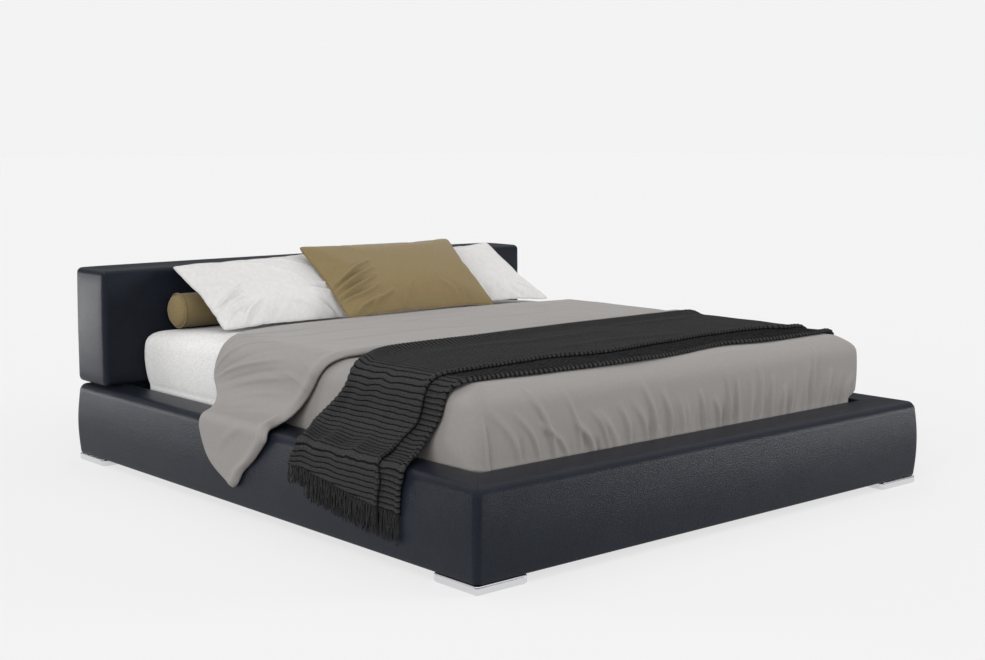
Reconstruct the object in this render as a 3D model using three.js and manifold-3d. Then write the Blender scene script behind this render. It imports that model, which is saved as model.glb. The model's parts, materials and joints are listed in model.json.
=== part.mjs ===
// Upholstered king-size platform bed whose slatted platform lifts at the foot end to open a storage space.
// Millimetres. +X is across the bed, +Y points to the headboard and +Z is up. The origin is on the floor
// under the middle of the base, at the underside of the centre glide.
import * as THREE from 'three';
import { RoundedBoxGeometry } from 'three/addons/geometries/RoundedBoxGeometry.js';
import { mergeVertices } from 'three/addons/utils/BufferGeometryUtils.js';
import Module from 'manifold-3d';

const wasm = await Module();
wasm.setup();

// ---- driving dimensions -------------------------------------------------------------------------------
const GAP = 0.3; // between parts that touch
const OUT_X = 1060; // half of the overall width
const OUT_Y = 1195; // half of the overall length
const BASE_BOTTOM = 28;
const BASE_TOP = 302;
const IN_X = 920; // inner face of the side rails
const IN_FOOT = -1040; // inner face of the foot rail
const IN_HEAD = 1000; // inner face of the head rail
const SKIN = 8; // leather and its foam
const BOARD = 18; // rail and headboard boards
const SKIRT = 190; // the leather is stapled to the inner board down to here
const LEDGE_TOP = 42; // carries the storage floor
const LEDGE = 22;
const CHAMFER = 16; // of the boards, under the rounded leather edge

const HEADBOARD_FRONT = 965;
const HEADBOARD_BOTTOM = 310;
const HEADBOARD_TOP = 755;
const EDGE_ROUND = 14;

const MATTRESS_X = 897; // half of the width
const MATTRESS_FOOT = -1016;
const MATTRESS_HEAD = 956;
const MATTRESS_BOTTOM = 276;
const MATTRESS_TOP = 528;
const MATTRESS_ROUND = 46;

const SHEET = 2.6; // fitted sheet with its small folds
const DUVET = 12.5;
const DUVET_HEAD = 485; // head-side fold of the turned-back duvet
const TURN_EDGE = -296; // free edge of the turned-back part
const THROW = 11.5;

const FRAME_BOTTOM = 232; // lift-up frame of rectangular steel tube
const TUBE_H = 30;
const TUBE_W = 40;
const FRAME_X = 902.7;
const FRAME_FOOT = -1012;
const FRAME_HEAD = 930;
const SLATS = 10;
const SLAT_W = 130;

// Pivots of the lift linkage as [y, z]. The arm turns on ARM_LOW and carries the platform at ARM_HIGH.
const ARM_LOW = [619.4, 77.6];
const ARM_HIGH = [840, 250];
const LINK_LOW = [528, 76.9];
const LINK_HIGH = [770.5, 241.4];
const STRUT_BASE = [945.3, 72];
const STRUT_ARM = [693.1, 135.2];
// The linkage lies in thin layers beside the side rail, each given as [inner x, outer x].
const BRACKET_X = [923, 928];
const LINK_X = [914, 918.5];
const ARM_X = [907.5, 912.5];
const LUG_X = [903, 906];
const STRUT_X = 885;

// ---- materials ----------------------------------------------------------------------------------------
const finish = (color, roughness, metalness = 0) =>
  new THREE.MeshStandardMaterial({ color, roughness, metalness });
const LEATHER = finish(0x2b2f37, 0.5);
const CHROME = finish(0xe6e7e9, 0.12, 1);
const WOOD = finish(0xc9a77c, 0.6);
const PLYWOOD = finish(0xb9946a, 0.65);
const STEEL = finish(0x2a2b2d, 0.45, 0.6);
const ZINC = finish(0x9fa3a8, 0.35, 0.9);
const TICKING = finish(0xe9e7e2, 0.9);
const LINEN = finish(0xdad9d6, 0.9);
const DUVET_CLOTH = finish(0x8f8b88, 0.85);
const KNIT = finish(0x39393b, 0.95);
const WHITE_CLOTH = finish(0xd9d9da, 0.9);
const OLIVE_CLOTH = finish(0x7d6b47, 0.85);
const WEBBING = finish(0x242424, 0.8);
const GLIDE = finish(0x1c1c1c, 0.6);

// ---- shape helpers ------------------------------------------------------------------------------------
const bed = new THREE.Group();

/** A closed geometry as a solid for joining and cutting. */
function solid(geometry) {
  const bare = geometry.clone();
  for (const name of Object.keys(bare.attributes)) {
    if (name !== 'position') bare.deleteAttribute(name);
  }
  const merged = mergeVertices(bare, 1e-4);
  return new wasm.Manifold(
    new wasm.Mesh({
      numProp: 3,
      vertProperties: Float32Array.from(merged.attributes.position.array),
      triVerts: Uint32Array.from(merged.index.array),
    }),
  );
}

/** The geometry of a joined or cut solid. */
function geometryOf(body) {
  const mesh = body.getMesh();
  const geometry = new THREE.BufferGeometry();
  geometry.setAttribute('position', new THREE.BufferAttribute(mesh.vertProperties, 3));
  geometry.setIndex(new THREE.BufferAttribute(mesh.triVerts, 1));
  return geometry;
}

const joined = (first, ...rest) =>
  geometryOf(rest.reduce((body, next) => body.add(solid(next)), solid(first)));
const cut = (first, ...rest) =>
  geometryOf(rest.reduce((body, next) => body.subtract(solid(next)), solid(first)));
const common = (first, second) => geometryOf(solid(first).intersect(solid(second)));

function add(name, geometry, material) {
  const mesh = new THREE.Mesh(geometry, material);
  mesh.name = name;
  bed.add(mesh);
}

/** A mirror image in the bed's middle plane, with its faces still pointing out. */
function mirrored(geometry) {
  const copy = mergeVertices(geometry.index ? geometry.clone() : geometry);
  copy.scale(-1, 1, 1);
  const index = copy.index.array;
  for (let i = 0; i < index.length; i += 3) {
    [index[i], index[i + 1]] = [index[i + 1], index[i]];
  }
  return copy;
}

/** The same piece on the right and, mirrored, on the left. */
function addPair(name, geometry, material) {
  add(`${name}_right`, geometry, material);
  add(`${name}_left`, mirrored(geometry), material);
}

const box = (x, y, z) =>
  new THREE.BoxGeometry(x[1] - x[0], y[1] - y[0], z[1] - z[0]).translate(
    (x[0] + x[1]) / 2,
    (y[0] + y[1]) / 2,
    (z[0] + z[1]) / 2,
  );

/** A shape from [u, v] corners; a third number rounds that corner by its radius. */
function outline(corners) {
  const shape = new THREE.Shape();
  const count = corners.length;
  const towards = (from, to, distance) => {
    const length = Math.hypot(to[0] - from[0], to[1] - from[1]);
    return [
      from[0] + ((to[0] - from[0]) * distance) / length,
      from[1] + ((to[1] - from[1]) * distance) / length,
    ];
  };
  corners.forEach((corner, i) => {
    const radius = corner[2] ?? 0;
    const before = towards(corner, corners[(i + count - 1) % count], radius);
    const after = towards(corner, corners[(i + 1) % count], radius);
    if (i === 0) shape.moveTo(...before);
    else shape.lineTo(...before);
    if (radius > 0) shape.quadraticCurveTo(corner[0], corner[1], ...after);
  });
  shape.closePath();
  return shape;
}

const extrude = (shape, depth, curveSegments) =>
  new THREE.ExtrudeGeometry(shape, { depth, curveSegments, bevelEnabled: false });
/** An [x, z] shape run along Y, a [y, z] shape run along X, and an [x, y] shape run along Z. */
const alongY = (shape, y, segments = 4) =>
  extrude(shape, y[1] - y[0], segments).rotateX(Math.PI / 2).translate(0, y[1], 0);
const alongX = (shape, x, segments = 4) =>
  extrude(shape, x[1] - x[0], segments)
    .applyMatrix4(
      new THREE.Matrix4().makeBasis(
        new THREE.Vector3(0, 1, 0),
        new THREE.Vector3(0, 0, 1),
        new THREE.Vector3(1, 0, 0),
      ),
    )
    .translate(x[0], 0, 0);
const alongZ = (shape, z, segments = 4) => extrude(shape, z[1] - z[0], segments).translate(0, 0, z[0]);

/** A round bar along X centred on a [y, z] point. */
const rodX = (centre, radius, x, sides = 20) =>
  new THREE.CylinderGeometry(radius, radius, x[1] - x[0], sides)
    .rotateZ(Math.PI / 2)
    .translate((x[0] + x[1]) / 2, centre[0], centre[1]);

/** A flat bar with round ends between two [y, z] points. */
function roundEndedBar(a, b, radius, x) {
  const angle = Math.atan2(b[1] - a[1], b[0] - a[0]);
  const shape = new THREE.Shape();
  shape.absarc(a[0], a[1], radius, angle + Math.PI / 2, angle + (3 * Math.PI) / 2, false);
  shape.absarc(b[0], b[1], radius, angle - Math.PI / 2, angle + Math.PI / 2, false);
  shape.closePath();
  return alongX(shape, x, 8);
}

// ---- base: four padded rails with mitred corners ------------------------------------------------------
/** The plan of a rail from its outer edge to its inner edge, kept clear of its neighbours' mitres. */
const SIDE_PLAN = [
  [OUT_X, -OUT_Y + GAP],
  [OUT_X, OUT_Y - GAP],
  [IN_X - LEDGE - 10, IN_HEAD - GAP - LEDGE - 10],
  [IN_X - LEDGE - 10, IN_FOOT + GAP + LEDGE + 10],
];
const endPlan = (outer, inner) => {
  const way = Math.sign(outer);
  return [
    [-OUT_X + GAP, outer],
    [OUT_X - GAP, outer],
    [IN_X - GAP - LEDGE - 10, inner - way * (LEDGE + 10)],
    [-IN_X + GAP + LEDGE + 10, inner - way * (LEDGE + 10)],
  ];
};

/** Leather skin of a rail: u runs from its inner face out to its width. */
const coverProfile = (place, width) =>
  outline(
    [
      [0, SKIRT],
      [0, BASE_TOP, 9],
      [width, BASE_TOP, 22],
      [width, BASE_BOTTOM, 6],
      [width - 34, BASE_BOTTOM],
      [width - 34, BASE_BOTTOM + SKIN],
      [width - SKIN, BASE_BOTTOM + SKIN],
      [width - SKIN, BASE_TOP - SKIN, 14],
      [SKIN, BASE_TOP - SKIN, 2],
      [SKIN, SKIRT],
    ].map(([u, z, r]) => [place(u), z, r]),
  );

/** Glued boards of a rail: inner, top and outer board, and the ledge under the storage floor. */
const boardProfile = (place, width) => {
  const low = SKIN + GAP;
  const high = width - SKIN - GAP;
  const top = BASE_TOP - SKIN - GAP;
  const bottom = BASE_BOTTOM + SKIN + GAP;
  return outline(
    [
      [-LEDGE, LEDGE_TOP - 12],
      [low + BOARD, LEDGE_TOP - 12],
      [low + BOARD, top - BOARD],
      [high - BOARD, top - BOARD],
      [high - BOARD, bottom],
      [high, bottom],
      [high, top - CHAMFER],
      [high - CHAMFER, top],
      [low + 2, top],
      [low, top - 2],
      [low, LEDGE_TOP],
      [-LEDGE, LEDGE_TOP],
    ].map(([u, z, r]) => [place(u), z, r]),
  );
};

const HEIGHTS = [0, HEADBOARD_TOP];
const sidePrism = () => alongZ(outline(SIDE_PLAN), HEIGHTS);
const sideRail = (profile) =>
  common(alongY(profile((u) => IN_X + u, OUT_X - IN_X), [-OUT_Y, OUT_Y]), sidePrism());
addPair('side_rail_cover', sideRail(coverProfile), LEATHER);
addPair('side_rail_frame', sideRail(boardProfile), WOOD);

function endRail(profile, outer, inner) {
  const way = Math.sign(outer);
  const run = alongX(profile((u) => inner + way * u, Math.abs(outer - inner)), [-OUT_X, OUT_X]);
  return common(run, alongZ(outline(endPlan(outer, inner)), HEIGHTS));
}
add('foot_rail_cover', endRail(coverProfile, -OUT_Y, IN_FOOT), LEATHER);
add('foot_rail_frame', endRail(boardProfile, -OUT_Y, IN_FOOT), WOOD);

// Two flat steel bars stand inside the head rail and the headboard, against their rear boards.
const BAR_X = 700;
const BAR_HALF = 30;
const BAR_BACK = OUT_Y - SKIN - BOARD - 2 * GAP;
const BAR_T = 8;
const barSlot = (side, z) =>
  box(
    [side * BAR_X - BAR_HALF - 2, side * BAR_X + BAR_HALF + 2],
    [BAR_BACK - BAR_T - 2, BAR_BACK + GAP],
    z,
  );
const topSlots = [-1, 1].map((side) => barSlot(side, [200, 320]));
add('head_rail_cover', cut(endRail(coverProfile, OUT_Y, IN_HEAD), ...topSlots), LEATHER);
add('head_rail_frame', cut(endRail(boardProfile, OUT_Y, IN_HEAD), ...topSlots), WOOD);
addPair(
  'headboard_bar',
  box([BAR_X - BAR_HALF, BAR_X + BAR_HALF], [BAR_BACK - BAR_T, BAR_BACK], [120, 640]),
  STEEL,
);

// ---- headboard: a padded box that stands a little above the base --------------------------------------
const headboardBlock = (inset, bottom, round) => {
  const depth = OUT_Y - HEADBOARD_FRONT - 2 * inset;
  const height = HEADBOARD_TOP - inset - bottom;
  const size = [2 * (OUT_X - inset), depth, height];
  const shape = round > 0 ? new RoundedBoxGeometry(...size, 3, round) : new THREE.BoxGeometry(...size);
  return shape.translate(0, (OUT_Y + HEADBOARD_FRONT) / 2, bottom + height / 2);
};
add(
  'headboard_cover',
  cut(headboardBlock(0, HEADBOARD_BOTTOM, EDGE_ROUND), headboardBlock(SKIN, HEADBOARD_BOTTOM - 20, 0)),
  LEATHER,
);
const FRAME_INSET = SKIN + GAP;
add(
  'headboard_frame',
  cut(
    headboardBlock(FRAME_INSET, HEADBOARD_BOTTOM + 12, 0),
    headboardBlock(FRAME_INSET + BOARD, HEADBOARD_BOTTOM - 20, 0),
  ),
  WOOD,
);

// ---- feet, centre beam and storage floor --------------------------------------------------------------
/** A cast corner foot: two equal arms along the rails, with soft edges and round ends. */
function cornerFoot() {
  const reach = 200;
  const arm = 92;
  const bevel = 7;
  const out = OUT_X - bevel;
  const outY = OUT_Y - bevel;
  const shape = outline([
    [out, -outY, 3],
    [out, -OUT_Y + reach - bevel, 16],
    [OUT_X - arm + bevel, -OUT_Y + reach - bevel, 16],
    [OUT_X - arm + bevel, -OUT_Y + arm - bevel, 10],
    [OUT_X - reach + bevel, -OUT_Y + arm - bevel, 16],
    [OUT_X - reach + bevel, -outY, 16],
  ]);
  const settings = {
    depth: BASE_BOTTOM - GAP - 2 * bevel,
    bevelEnabled: true,
    bevelThickness: bevel,
    bevelSize: bevel,
    bevelSegments: 4,
    curveSegments: 5,
  };
  return new THREE.ExtrudeGeometry(shape, settings).translate(0, 0, bevel);
}
const turnedHalf = (geometry) => geometry.clone().rotateZ(Math.PI);
addPair('corner_foot_front', cornerFoot(), CHROME);
// Half a turn about the middle puts the right front foot at the left rear corner.
add('corner_foot_rear_left', turnedHalf(cornerFoot()), CHROME);
add('corner_foot_rear_right', mirrored(turnedHalf(cornerFoot())), CHROME);

const BEAM_BOTTOM = 16;
const BEAM_HALF = 30;
add(
  'centre_beam',
  box(
    [-BEAM_HALF, BEAM_HALF],
    [IN_FOOT + LEDGE + 1, IN_HEAD - LEDGE - 1],
    [BEAM_BOTTOM, LEDGE_TOP - GAP],
  ),
  STEEL,
);
const GLIDE_PITCH = 650;
for (const [name, row] of [['foot', -1], ['middle', 0], ['head', 1]]) {
  const height = BEAM_BOTTOM - GAP;
  const glide = new THREE.CylinderGeometry(22, 22, height, 24).rotateX(Math.PI / 2);
  add(`centre_glide_${name}`, glide.translate(0, row * GLIDE_PITCH, height / 2), GLIDE);
}

const FLOOR = 8;
const FLOOR_X = IN_X + 5;
addPair(
  'storage_floor',
  box(
    [0.5, FLOOR_X],
    [IN_FOOT - 5, IN_HEAD + 5],
    [LEDGE_TOP + GAP, LEDGE_TOP + GAP + FLOOR],
  ),
  PLYWOOD,
);
// The closed platform rests on this strip along the foot rail.
add(
  'foot_rest_strip',
  box([-800, 800], [IN_FOOT + GAP, IN_FOOT + 40], [FRAME_BOTTOM - 32, FRAME_BOTTOM - GAP]),
  WOOD,
);

// ---- lift-up platform ---------------------------------------------------------------------------------
const FRAME_Z = [FRAME_BOTTOM, FRAME_BOTTOM + TUBE_H];
const TUBE_IN = FRAME_X - TUBE_W;
addPair('platform_side_tube', box([TUBE_IN, FRAME_X], [FRAME_FOOT, FRAME_HEAD], FRAME_Z), STEEL);
const crossTube = (y0) => box([-TUBE_IN + GAP, TUBE_IN - GAP], [y0, y0 + TUBE_W], FRAME_Z);
add('platform_foot_tube', crossTube(FRAME_FOOT), STEEL);
add('platform_head_tube', crossTube(FRAME_HEAD - TUBE_W), STEEL);
add(
  'platform_centre_tube',
  box(
    [-TUBE_W / 2, TUBE_W / 2],
    [FRAME_FOOT + TUBE_W + GAP, FRAME_HEAD - TUBE_W - GAP],
    FRAME_Z,
  ),
  STEEL,
);
const SLAT_FIRST = FRAME_FOOT + 20;
const SLAT_LAST = FRAME_HEAD - 20 - SLAT_W;
for (let i = 0; i < SLATS; i += 1) {
  const y = SLAT_FIRST + ((SLAT_LAST - SLAT_FIRST) * i) / (SLATS - 1);
  const z = [FRAME_Z[1] + GAP, MATTRESS_BOTTOM - GAP];
  const slat = alongX(
    outline([
      [y, z[0]],
      [y + SLAT_W, z[0]],
      [y + SLAT_W, z[1], 4],
      [y, z[1], 4],
    ]),
    [-MATTRESS_X, MATTRESS_X],
    2,
  );
  add(`slat_${String(i + 1).padStart(2, '0')}`, slat, WOOD);
}
// A loop of webbing on the foot tube, to lift the platform by.
const STRAP_T = 3;
add(
  'pull_strap',
  cut(
    box([-90, 90], [FRAME_FOOT - GAP - STRAP_T - 8, FRAME_FOOT - GAP], [236, 260]),
    box([-60, 60], [FRAME_FOOT - GAP - 8, FRAME_FOOT + 5], [230, 270]),
  ),
  WEBBING,
);

// ---- lift linkage: crank arms on a torsion tube, front links and gas struts ---------------------------
const TUBE_R = 15;
const STUD_R = 11;
const PIN_R = 6;
const RUN = 0.4; // running clearance of a pin in its hole
const SMALL_PIN_R = 4;

const basePlate = alongX(
  outline([
    [495, 52, 12],
    [978, 52, 12],
    [978, 98, 18],
    [680, 112, 20],
    [495, 112, 18],
  ]),
  BRACKET_X,
);
addPair(
  'lift_base_bracket',
  joined(
    basePlate,
    rodX(ARM_LOW, STUD_R, [880, BRACKET_X[0] + 2]),
    rodX(LINK_LOW, PIN_R, [LINK_X[0] - 1, BRACKET_X[0] + 2]),
    rodX(STRUT_BASE, SMALL_PIN_R, [876, BRACKET_X[0] + 2], 12),
  ),
  ZINC,
);
addPair(
  'lift_arm',
  cut(
    joined(
      roundEndedBar(ARM_LOW, ARM_HIGH, 13, ARM_X),
      rodX(ARM_LOW, TUBE_R + 7, ARM_X, 28),
    ),
    rodX(ARM_LOW, TUBE_R + GAP, [900, 930], 28),
    rodX(ARM_HIGH, PIN_R + RUN, [900, 930]),
  ),
  STEEL,
);
add(
  'torsion_tube',
  cut(
    rodX(ARM_LOW, TUBE_R, [-ARM_X[1], ARM_X[1]], 28),
    rodX(ARM_LOW, STUD_R + 1, [-ARM_X[1] - 5, ARM_X[1] + 5], 28),
  ),
  STEEL,
);
addPair(
  'front_link',
  cut(roundEndedBar(LINK_LOW, LINK_HIGH, 11, LINK_X), rodX(LINK_LOW, PIN_R + RUN, [910, 930])),
  STEEL,
);
addPair(
  'platform_lug',
  joined(
    alongX(outline([[750, 226, 8], [858, 226, 8], [858, 262, 3], [750, 262, 3]]), LUG_X),
    rodX(ARM_HIGH, PIN_R, [LUG_X[1] - 2, ARM_X[1]]),
    rodX(LINK_HIGH, PIN_R, [LUG_X[1] - 2, LINK_X[0] - 0.8]),
  ),
  ZINC,
);

// Gas strut: drawn along +X from its base eye, then turned onto the line between its two pivots.
const STRUT_LENGTH = Math.hypot(STRUT_ARM[0] - STRUT_BASE[0], STRUT_ARM[1] - STRUT_BASE[1]);
const STRUT_ANGLE = Math.atan2(STRUT_ARM[1] - STRUT_BASE[1], STRUT_ARM[0] - STRUT_BASE[0]);
const onStrut = (geometry) =>
  geometry
    .rotateX(STRUT_ANGLE)
    .translate(STRUT_X, STRUT_BASE[0], STRUT_BASE[1]);
/** A turned piece about the strut's line, from [distance, radius] corners. */
const turned = (corners, sides) =>
  new THREE.LatheGeometry(
    corners.map(([along, radius]) => new THREE.Vector2(radius, along)),
    sides,
  );
const eye = (along, length) => rodX([along, 0], 10, [-length / 2, length / 2]);
const CYLINDER_R = 11;
const ROD_R = 5;
const CYLINDER_END = STRUT_LENGTH - 44;
const BORE_START = 60;
addPair(
  'gas_cylinder',
  onStrut(
    cut(
      joined(
        turned([[6, 0], [6, 6], [18, 6], [18, CYLINDER_R], [CYLINDER_END, CYLINDER_R],
          [CYLINDER_END, 0]], 20),
        eye(0, 12),
      ),
      turned([[BORE_START, 0], [BORE_START, ROD_R + 1], [CYLINDER_END + 5, ROD_R + 1],
        [CYLINDER_END + 5, 0]], 16),
      rodX([0, 0], SMALL_PIN_R + RUN, [-20, 20], 12),
    ),
  ),
  STEEL,
);
addPair(
  'gas_rod',
  onStrut(
    joined(
      turned([[BORE_START + 8, 0], [BORE_START + 8, ROD_R], [STRUT_LENGTH - 4, ROD_R],
        [STRUT_LENGTH - 4, 0]], 16),
      eye(STRUT_LENGTH, 12),
      rodX([STRUT_LENGTH, 0], SMALL_PIN_R, [0, ARM_X[0] - STRUT_X - 0.6], 12),
    ),
  ),
  ZINC,
);

// ---- mattress and fitted sheet ------------------------------------------------------------------------
/** A slab with rounded upper edges: half width, foot, head, bottom, top and edge radius. */
function roundedSlab(halfX, foot, head, bottom, top, radius) {
  const across = outline([
    [-halfX, bottom],
    [halfX, bottom],
    [halfX, top, radius],
    [-halfX, top, radius],
  ]);
  const along = outline([
    [foot, bottom],
    [head, bottom],
    [head, top, radius],
    [foot, top, radius],
  ]);
  return common(alongY(across, [foot, head]), alongX(along, [-halfX, halfX]));
}
const grown = (by, bottom, headBy = by) =>
  roundedSlab(
    MATTRESS_X + by,
    MATTRESS_FOOT - by,
    MATTRESS_HEAD + headBy,
    bottom,
    MATTRESS_TOP + by,
    MATTRESS_ROUND + by,
  );
add('mattress', grown(0, MATTRESS_BOTTOM), TICKING);
add('fitted_sheet', cut(grown(GAP + SHEET, MATTRESS_BOTTOM + 4), grown(GAP, 200)), LINEN);

// ---- duvet: tucked in at the foot, its head part turned back and hanging over the left rail -----------
const UNDER = 2 * GAP + SHEET; // from the mattress to the duvet
const DUVET_X = MATTRESS_X + UNDER + DUVET;
const DUVET_TOP = MATTRESS_TOP + UNDER + DUVET;
const HEM = 288; // lower edge of what is tucked beside the mattress
const OVER = BASE_TOP + 1.5; // what lies on a rail starts here
const tucked = common(
  cut(grown(UNDER + DUVET, HEM), grown(UNDER, 200)),
  box([-1000, 1000], [-1100, DUVET_HEAD - 10], [200, 600]),
);
/** The turned-back layer over the tucked one: top, left side, rail top and the hanging corner. */
const turnTop = common(
  cut(grown(UNDER + 2 * DUVET, OVER), grown(UNDER + DUVET - 1, 200)),
  box([-1000, 1000], [TURN_EDGE, DUVET_HEAD], [OVER, 600]),
);
const LIE = 14; // thickness where a layer lies on a rail or hangs beside it
const SIDE_X = DUVET_X + DUVET;
const OUTSIDE = OUT_X + 1.5;
const flapOnRail = alongZ(
  outline([[-OUTSIDE - LIE, -200], [-OUTSIDE - LIE, 262], [-SIDE_X + 4, 430], [-SIDE_X + 4, -90]]),
  [OVER, OVER + LIE],
);
const flapOutside = alongX(
  outline([
    [-200, OVER + LIE],
    [-150, 257],
    [-14, 135],
    [37, 92],
    [118, 123],
    [195, 169],
    [262, 245],
    [262, OVER + LIE],
  ]),
  [-OUTSIDE - LIE, -OUTSIDE],
);
// On the mattress the turned-back layer narrows towards the rail.
const flapWaste = joined(
  alongX(outline([[-400, 200], [-90, 200], [-90, 320], [-240, 470], [-285, 512], [-400, 512]]),
    [-1000, -DUVET_X - 0.2]),
  alongX(outline([[425, 200], [600, 200], [600, 500], [400, 500]]), [-1000, -DUVET_X - 0.2]),
);
add(
  'duvet',
  cut(joined(tucked, turnTop, flapOnRail, flapOutside), flapWaste),
  DUVET_CLOTH,
);

// ---- throw: folded once, laid across the foot end and hanging over both side rails --------------------
const THROW_HEAD = TURN_EDGE - 5;
const throwShell = (head, foot) =>
  common(
    cut(grown(UNDER + DUVET + GAP + THROW, OVER), grown(UNDER + DUVET + GAP, 200)),
    box([-1000, 1000], [foot, head], [OVER, 600]),
  );
const throwSideX = DUVET_X + GAP + THROW;
/** One side of the throw that lies on the rail and hangs beside it; way is -1 on the left. */
function throwEnd(way, railHead, railFoot, hanging) {
  const outer = way * (OUTSIDE + LIE);
  const inner = way * (throwSideX - 4);
  const onRail = alongZ(
    outline(
      way < 0
        ? [[outer, railFoot[1]], [inner, railFoot[0]], [inner, railHead[0]], [outer, railHead[1]]]
        : [[inner, railFoot[0]], [outer, railFoot[1]], [outer, railHead[1]], [inner, railHead[0]]],
    ),
    [OVER, OVER + LIE],
  );
  const beside = way < 0 ? [outer, -OUTSIDE] : [OUTSIDE, outer];
  return joined(onRail, alongX(outline(hanging), beside));
}
const leftEnd = throwEnd(
  -1,
  [-215, -320],
  [-765, -885],
  [
    [-885, OVER + LIE],
    [-872, 88],
    [-590, 88],
    [-400, 112],
    [-275, 168],
    [-320, OVER + LIE],
  ],
);
const rightEnd = throwEnd(
  1,
  [THROW_HEAD, THROW_HEAD],
  [-860, -880],
  [
    [-880, OVER + LIE],
    [-880, 120],
    [THROW_HEAD, 120],
    [THROW_HEAD, OVER + LIE],
  ],
);
// On the left side face the throw is drawn together, and it is set free of the duvet's turned-back part.
const throwWaste = alongX(
  outline([[-1000, 250], [-790, 250], [-880, 470], [-960, 500], [-1000, 500]]),
  [-1000, -DUVET_X - GAP - 0.1],
);
const leftFill = alongX(
  outline([[-320, OVER], [-215, OVER], [-270, 350], [-330, 440]]),
  [-throwSideX, -DUVET_X - GAP - 0.2],
);
add(
  'throw',
  joined(cut(throwShell(THROW_HEAD, -950), throwWaste), leftFill, leftEnd, rightEnd),
  KNIT,
);

// ---- pillows and bolster ------------------------------------------------------------------------------
/** A knife-edged pillow: a grid swollen between its corners, fuller in front than behind. */
function pillow({ x, foot, lean, width, height, front, back }) {
  const edge = 3;
  const geometry = new THREE.BoxGeometry(2, 2, 2, 12, 8, 1);
  const p = geometry.attributes.position;
  for (let i = 0; i < p.count; i += 1) {
    const [u, v, side] = [p.getX(i), p.getY(i), p.getZ(i)];
    const swell = ((1 - Math.abs(u) ** 3) * (1 - Math.abs(v) ** 3)) ** 0.6;
    const full = side > 0 ? front : back;
    const drawnInX = 1 - 0.03 * (1 - v * v);
    const drawnInY = 1 - 0.05 * (1 - u * u);
    p.setXYZ(
      i,
      (u * drawnInX * width) / 2,
      (v * drawnInY * height) / 2 + height / 2,
      side * (edge + (full - edge) * swell),
    );
  }
  return geometry.rotateX((lean * Math.PI) / 180).translate(x, foot[0], foot[1]);
}
const PILLOWS = {
  white_pillow_left: {
    x: -471, foot: [578, 553], lean: 31.5, width: 618, height: 420, front: 68, back: 40,
    cloth: WHITE_CLOTH,
  },
  white_pillow_right: {
    x: 548, foot: [578, 553], lean: 31.5, width: 560, height: 425, front: 46, back: 40,
    cloth: WHITE_CLOTH,
  },
  centre_pillow: {
    x: 92, foot: [505, 566], lean: 39, width: 740, height: 385, front: 80, back: 26,
    cloth: OLIVE_CLOTH,
  },
};
for (const [name, settings] of Object.entries(PILLOWS)) add(name, pillow(settings), settings.cloth);

const BOLSTER_R = 66;
const BOLSTER_END = 818;
const bolsterProfile = new THREE.Shape();
bolsterProfile.moveTo(0, -BOLSTER_END);
bolsterProfile.lineTo(BOLSTER_R - 20, -BOLSTER_END);
bolsterProfile.quadraticCurveTo(BOLSTER_R, -BOLSTER_END, BOLSTER_R, -BOLSTER_END + 20);
bolsterProfile.lineTo(BOLSTER_R, BOLSTER_END - 20);
bolsterProfile.quadraticCurveTo(BOLSTER_R, BOLSTER_END, BOLSTER_R - 20, BOLSTER_END);
bolsterProfile.lineTo(0, BOLSTER_END);
add(
  'bolster',
  new THREE.LatheGeometry(bolsterProfile.getPoints(4), 24)
    .rotateZ(Math.PI / 2)
    .translate(0, 888, MATTRESS_TOP + UNDER + BOLSTER_R),
  OLIVE_CLOTH,
);

export default bed;
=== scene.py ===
"""An upholstered lift-up bed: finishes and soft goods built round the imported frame.

Metres, +Z up, the headboard towards +Y. Distances across the bed that follow the bedding's surface are
called s: from the middle outward over the mattress edge, the rail and down its outer face, negative on
the left. S, Y and H are grids of such distances, of places along the bed and of heights over the surface.
"""

import json
import math

import bmesh
import bpy
import numpy as np
from mathutils import Matrix, Vector


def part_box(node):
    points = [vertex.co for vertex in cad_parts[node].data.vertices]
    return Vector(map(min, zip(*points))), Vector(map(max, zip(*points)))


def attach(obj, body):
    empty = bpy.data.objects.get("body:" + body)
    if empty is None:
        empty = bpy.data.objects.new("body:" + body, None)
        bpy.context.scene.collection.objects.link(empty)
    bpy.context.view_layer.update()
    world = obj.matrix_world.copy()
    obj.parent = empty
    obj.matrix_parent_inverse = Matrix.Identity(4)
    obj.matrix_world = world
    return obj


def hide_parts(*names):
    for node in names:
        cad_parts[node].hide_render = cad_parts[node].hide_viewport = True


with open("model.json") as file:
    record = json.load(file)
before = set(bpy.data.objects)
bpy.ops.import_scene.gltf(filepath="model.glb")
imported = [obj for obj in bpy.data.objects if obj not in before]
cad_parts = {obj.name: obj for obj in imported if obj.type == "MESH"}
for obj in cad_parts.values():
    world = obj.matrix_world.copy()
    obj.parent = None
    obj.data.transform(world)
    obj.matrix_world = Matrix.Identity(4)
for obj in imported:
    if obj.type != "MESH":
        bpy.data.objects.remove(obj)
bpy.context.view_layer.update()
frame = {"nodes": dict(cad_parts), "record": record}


# ---- measures from the frame
def span(node):
    low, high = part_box(node)
    return np.array(low), np.array(high)


RAIL_LOW, RAIL_HIGH = span("side_rail_cover_right")
HEAD_LOW, HEAD_HIGH = span("headboard_cover")
OUT_X = RAIL_HIGH[0]
OUT_Y = HEAD_HIGH[1]
IN_X = RAIL_LOW[0]
IN_FOOT = span("foot_rail_cover")[1][1]
IN_HEAD = span("head_rail_cover")[0][1]
BASE_TOP = RAIL_HIGH[2]
BASE_BOTTOM = RAIL_LOW[2]
BED_LOW, BED_HIGH = span("mattress")
SHEET_LOW, SHEET_HIGH = span("fitted_sheet")


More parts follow.
